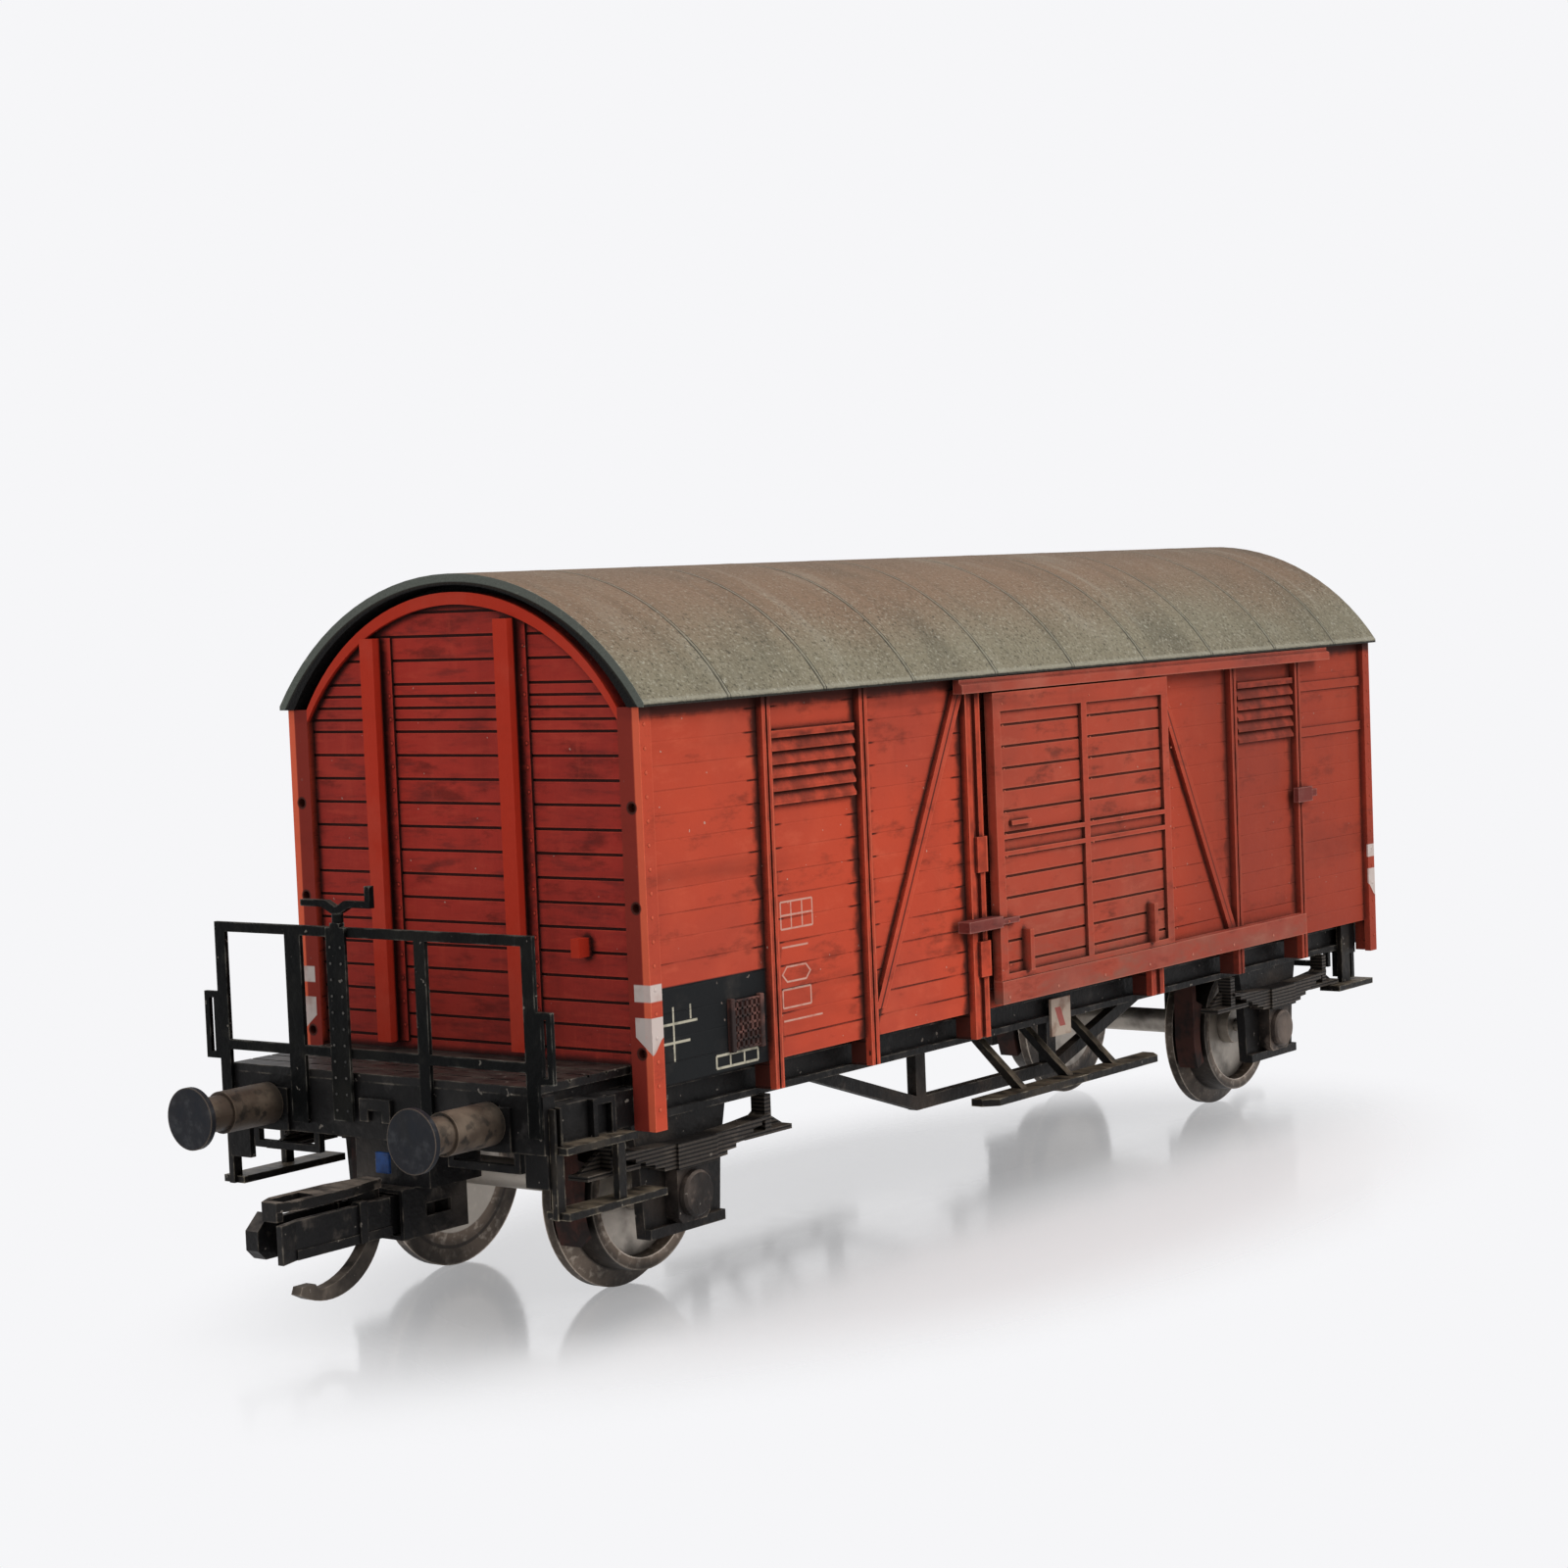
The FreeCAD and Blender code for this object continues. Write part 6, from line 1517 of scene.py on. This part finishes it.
@dataclass
class Body:
    """Walls, doors and their rails, with rows of stud heads.

    Attributes:
        corner_pitch: from one head to the next up the corner posts.
        corner_count: how many heads a corner post has.
        corner_base: the level of its lowest head.
        corner_inset: how far in from the body's ends its heads lie.
        rail_pitch: from one head to the next along a door's bottom rail.
        rail_inset: how far in from the rail's ends its heads lie.
        rail_rise: how far above the rail's lower edge they lie.
        stile: how far in from a door's edges its outer heads lie.
        door_rise: how far above the door's lower edge its lowest heads lie.
        door_count: how many heads there are up a door.
        door_head: half the sizes of a door's heads.
        stanchions: each stanchion's place across an end, and its heads in a row.
        foot_face: how far the stanchions' feet lie from the body's middle.
        foot_half: half the distance between a stanchion's two rows.
        foot_base: the level of its lowest heads.
        foot_head: half the sizes of its heads.
    """

    corner_pitch: float = 1.13 * MM
    corner_count: int = 17
    corner_base: float = 9.6 * MM
    corner_inset: float = 0.36 * MM
    rail_pitch: float = 4.9 * MM
    rail_inset: float = 0.6 * MM
    rail_rise: float = 0.35 * MM
    stile: float = 0.35 * MM
    door_rise: float = 0.9 * MM
    door_count: int = 13
    door_head: Point = (0.06 * MM, 0.04 * MM, 0.06 * MM)
    stanchions: tuple[tuple[float, int], ...] = ((-3.6 * MM, 17), (5.3 * MM, 16))
    foot_face: float = 36.58 * MM
    foot_half: float = 0.68 * MM
    foot_base: float = 12.8 * MM
    foot_head: Point = (0.05 * MM, 0.09 * MM, 0.09 * MM)

    def build(self, nodes: Nodes) -> None:
        """Dress the walls and doors and add their small pieces.

        Args:
            nodes: every CAD node by name.
        """
        dress(nodes, [
            ("side_wall", Finish.SIDE), ("end_wall", Finish.END), ("_hasp", Finish.FITTING),
            ("_stop", Finish.FITTING), ("_door_", Finish.RAIL), ("_door", Finish.DOOR),
        ])
        tree = stud_rows()
        for side in Side:
            self._corner_studs(tree, side)
            self._door_studs(tree, side)
            CardHolder().build(side)
        for end in End:
            self._end_studs(tree, end)

    def _corner_studs(self, tree: GrowTree, side: Side) -> None:
        """Set the heads up the corner posts of one side.

        Args:
            tree: the tree that sets rows of heads.
            side: the side.
        """
        inset = self.corner_inset
        Studs(f"{side.label}_corner_studs",
              (BODY_FRONT + inset, side.value * BODY_SIDE, self.corner_base),
              (0.0, 0.0, self.corner_pitch), self.corner_count,
              (2 * (BODY_HALF - inset), 0.0, 0.0), 2).build(tree, Finish.SIDE, "red_boards")

    def _door_studs(self, tree: GrowTree, side: Side) -> None:
        """Set the heads on the door of one side and on its bottom rail.

        Args:
            tree: the tree that sets rows of heads.
            side: the side.
        """
        rail = f"{side.label}_door_bottom_rail"
        low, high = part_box(rail)
        count = int((high.x - low.x - 2 * self.rail_inset) / self.rail_pitch) + 1
        Studs(f"{side.label}_rail_studs",
              (low.x + self.rail_inset, side.face(rail), low.z + self.rail_rise),
              (self.rail_pitch, 0.0, 0.0), count).build(tree, Finish.RAIL, "red_boards")
        door = f"{side.label}_door"
        low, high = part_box(door)
        Studs(f"{side.label}_door_studs",
              (low.x + self.stile, side.face(door), low.z + self.door_rise),
              (0.0, 0.0, PLANK_PITCH), self.door_count,
              ((high.x - low.x) / 2 - self.stile, 0.0, 0.0), 3, self.door_head,
              ).build(tree, Finish.DOOR, "red_boards")

    def _end_studs(self, tree: GrowTree, end: End) -> None:
        """Set the heads on the stanchions' feet at one end.

        Args:
            tree: the tree that sets rows of heads.
            end: the end.
        """
        for number, (place, count) in enumerate(self.stanchions):
            start = (BODY_MIDDLE + end.value * self.foot_face,
                     -end.value * place - self.foot_half, self.foot_base)
            Studs(f"{end.name.lower()}_stanchion_studs_{number}", start, (0.0, 0.0, PLANK_PITCH),
                  count, (0.0, 2 * self.foot_half, 0.0), 2, self.foot_head,
                  ).build(tree, Finish.END, "end_red_boards")


@dataclass
class Chassis:
    """Frame, running gear, buffers, brake gear and steps.

    Attributes:
        column_inset: how far in from the brake column's edges its heads lie.
        column_rise: how far above its foot the lowest heads lie.
        column_pitch: from one head to the next up the column.
        column_count: how many heads there are in a row.
        column_head: half the sizes of its heads.
        tongue_low: the lowest corner of the blue tongue.
        tongue_high: the highest corner of the blue tongue.
    """

    column_inset: float = 0.28 * MM
    column_rise: float = 0.5 * MM
    column_pitch: float = 0.78 * MM
    column_count: int = 11
    column_head: Point = (0.04 * MM, 0.07 * MM, 0.07 * MM)
    tongue_low: Point = (-39.95 * MM, -0.75 * MM, 6.95 * MM)
    tongue_high: Point = (-39.75 * MM, 0.1 * MM, 7.95 * MM)

    def build(self, nodes: Nodes) -> None:
        """Dress everything below the body.

        Args:
            nodes: every CAD node by name.
        """
        dress(nodes, [
            ("floor", Finish.BLACK), ("axle_guard", Finish.BLACK), ("truss_rod", Finish.BLACK),
            ("beam", Finish.BEAM), ("chassis_frame", Finish.BEAM), ("deck", Finish.DECK),
            ("footboard", Finish.STEP), ("step", Finish.STEP), ("axlebox", Finish.AXLEBOX),
            ("leaf_spring", Finish.SPRING), ("coupler_head", Finish.COUPLER),
            ("coupler_pocket", Finish.COUPLER), ("coupler_loop", Finish.LOOP),
            ("wheelset", Finish.WHEEL), ("right_buffer", Finish.BUFFER),
            ("left_buffer", Finish.BUFFER), ("brake_shoes", Finish.BRAKE),
            ("platform_railing", Finish.RAILING), ("brake_column", Finish.RAILING),
            ("brake_crank", Finish.RAILING), ("ballast_weight", Finish.STEEL),
            ("label_plate", Finish.PLATE),
        ])
        self._column_studs()
        block("blue_tongue", self.tongue_low, self.tongue_high, Finish.BLUE)

    def _column_studs(self) -> None:
        """Set two rows of heads up the brake column."""
        low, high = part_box("brake_column")
        inset = self.column_inset
        Studs("brake_column_studs", (low.x, low.y + inset, low.z + self.column_rise),
              (0.0, 0.0, self.column_pitch), self.column_count,
              (0.0, high.y - low.y - 2 * inset, 0.0), 2, self.column_head,
              ).build(stud_rows(), Finish.STUD, "railing_black")


# ---------------------------------------------------------------- stage

def seen(tree: Tree) -> Wire:
    """Give 1 for what the camera sees, itself or in a gloss or through glass."""
    kinds = ("Is Camera Ray", "Is Glossy Ray", "Is Transmission Ray")
    return reduce(Wire.most, (tree.add("LightPath", output=kind) for kind in kinds))


@dataclass
class Camera:
    """The camera.

    Attributes:
        eye: where it stands.
        look: the direction it looks in.
        right: the direction to its right.
        lens: its focal length in millimetres.
        sensor: its sensor's width in millimetres.
        near: the nearest distance it sees.
        far: the farthest distance it sees.
    """

    eye: Point = (-148.029 * MM, -107.136 * MM, 34.325 * MM)
    look: Point = (0.79454434, 0.60376562, -0.06454746)
    right: Point = (0.60249577, -0.79712881, -0.0398058)
    lens: float = 74.0915
    sensor: float = 36.0
    near: float = 5 * MM
    far: float = 20.0

    def build(self) -> None:
        """Set the camera."""
        data = bpy.data.cameras.new("view")
        data.lens = self.lens
        data.sensor_width = self.sensor
        data.clip_start = self.near
        data.clip_end = self.far
        camera = placed("view", data)
        back, right = -Vector(self.look), Vector(self.right)
        turn = Matrix((right, back.cross(right), back)).transposed()
        camera.matrix_world = Matrix.Translation(self.eye) @ turn.to_4x4()
        bpy.context.scene.camera = camera


@dataclass(frozen=True)
class Lamp:
    """A square soft lamp.

    Attributes:
        name: the lamp's name.
        place: where it hangs.
        aim: the level of the point above the middle that it faces.
        size: the length of its sides.
        power: its power in watts.
        colour: its light's colour.
    """

    name: str
    place: Point
    aim: float
    size: float
    power: float
    colour: Colour = (1.0, 1.0, 1.0)

    def build(self) -> None:
        """Hang the lamp."""
        data = bpy.data.lights.new(self.name, "AREA")
        data.size = self.size
        data.energy = self.power
        data.color = self.colour
        lamp = placed(self.name, data)
        lamp.location = self.place
        beam = Vector((0.0, 0.0, self.aim)) - Vector(self.place)
        lamp.rotation_euler = beam.to_track_quat("-Z", "Y").to_euler()


@dataclass
class Floor:
    """A glossy pale floor that fades into the backdrop.

    Attributes:
        half: half the length of its sides.
        level: its level.
        glow: how much of the backdrop's own light it shows.
        middle: the middle of the patch that takes shadow and reflection.
        reach: how far the patch reaches each way.
        pale: the floor's colour in the open.
        shaded: its colour right below the wagon.
        sheen: the colour of its reflection.
    """

    half: float = 1.2
    level: float = -0.02 * MM
    glow: float = 0.33
    middle: Pair = (-8 * MM, -7 * MM)
    reach: Pair = (48 * MM, 25 * MM)
    pale: Colour = (0.93, 0.93, 0.945)
    shaded: Colour = (0.45, 0.45, 0.46)
    sheen: Colour = (0.92, 0.92, 0.92)

    def build(self, backdrop: Colour) -> None:
        """Lay the floor.

        Args:
            backdrop: the colour it fades into.
        """
        mesh = bpy.data.meshes.new("floor_sheet")
        corners = [(x * self.half, y * self.half, self.level)
                   for x, y in ((-1, -1), (1, -1), (1, 1), (-1, 1))]
        mesh.from_pydata(corners, [], [(0, 1, 2, 3)])
        mesh.materials.append(self._paint(backdrop))
        placed("floor_sheet", mesh)

    def _paint(self, backdrop: Colour) -> bpy.types.Material:
        """Build the floor's material, clear from below and away from the wagon.

        Args:
            backdrop: the colour it fades into.

        Returns:
            The finished material.
        """
        paint = PaintTree("pale_floor")
        across, deep = ((axis - middle) / reach for axis, middle, reach
                        in zip((paint.x, paint.y), self.middle, self.reach))
        away = across.diagonal(deep).ramp(0.6, 1.1)
        ripple = 0.07 + paint.noise(900.0) * 0.1
        sheen = paint.add("BsdfGlossy", values={"Color": self.sheen, "Roughness": ripple})
        shade = paint.mixed(self.pale, self.shaded, paint.hollow(14 * MM).ramp(0.15, 0.6))
        matt = paint.add("BsdfDiffuse", values={"Color": shade})
        glow = paint.add("Emission", values={"Color": backdrop, "Strength": 1.0})
        surface = matt
        for share, other in (
            (paint.y.ramp(-17 * MM, -6 * MM, 0.12, 0.6), sheen),
            (seen(paint) * self.glow, glow),
            (away.most(paint.add("NewGeometry", output="Backfacing")),
             paint.add("BsdfTransparent")),
        ):
            surface = paint.add("MixShader", values={0: share, 1: surface, 2: other})
        paint.add("OutputMaterial", values={"Surface": surface})
        return paint.material


@dataclass
class Studio:
    """Camera, lamps, floor and background.

    Attributes:
        backdrop: the colour of the background.
        soft: the colour of the even light all round.
        soft_power: the strength of that light.
        lamps: the lamps.
    """

    backdrop: Colour = (0.922, 0.922, 0.939)
    soft: Colour = (0.80, 0.80, 0.80)
    soft_power: float = 0.5
    lamps: tuple[Lamp, ...] = (
        Lamp("key", (0.10, -0.55, 0.42), 0.015, 0.45, 2.6, (1.0, 0.985, 0.96)),
        Lamp("top", (0.0, 0.1, 0.7), 0.02, 0.7, 1.2),
        Lamp("end_fill", (-0.6, 0.05, 0.25), 0.02, 0.4, 0.6),
    )

    def build(self) -> None:
        """Set the whole stage."""
        bpy.context.scene.view_settings.view_transform = "Standard"
        Camera().build()
        self._world()
        Floor().build(self.backdrop)
        for lamp in self.lamps:
            lamp.build()

    def _world(self) -> None:
        """Light the scene evenly and show the backdrop to the camera."""
        world = bpy.data.worlds.new("studio")
        bpy.context.scene.world = world
        world.use_nodes = True
        tree = Tree(world.node_tree, "ShaderNode")
        soft = tree.add("Background", values={"Color": self.soft, "Strength": self.soft_power})
        shown = tree.add("Background", values={"Color": self.backdrop, "Strength": 1.0})
        mixed = tree.add("MixShader", values={0: seen(tree), 1: soft, 2: shown})
        tree.add("OutputWorld", values={"Surface": mixed})


def main() -> None:
    """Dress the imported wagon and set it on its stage."""
    logging.basicConfig(level=logging.INFO, format="%(name)s: %(message)s")
    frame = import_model()
    nodes = frame["nodes"]
    Studio().build()
    Roof().build(nodes)
    Body().build(nodes)
    Chassis().build(nodes)


if __name__ == "__main__":
    main()
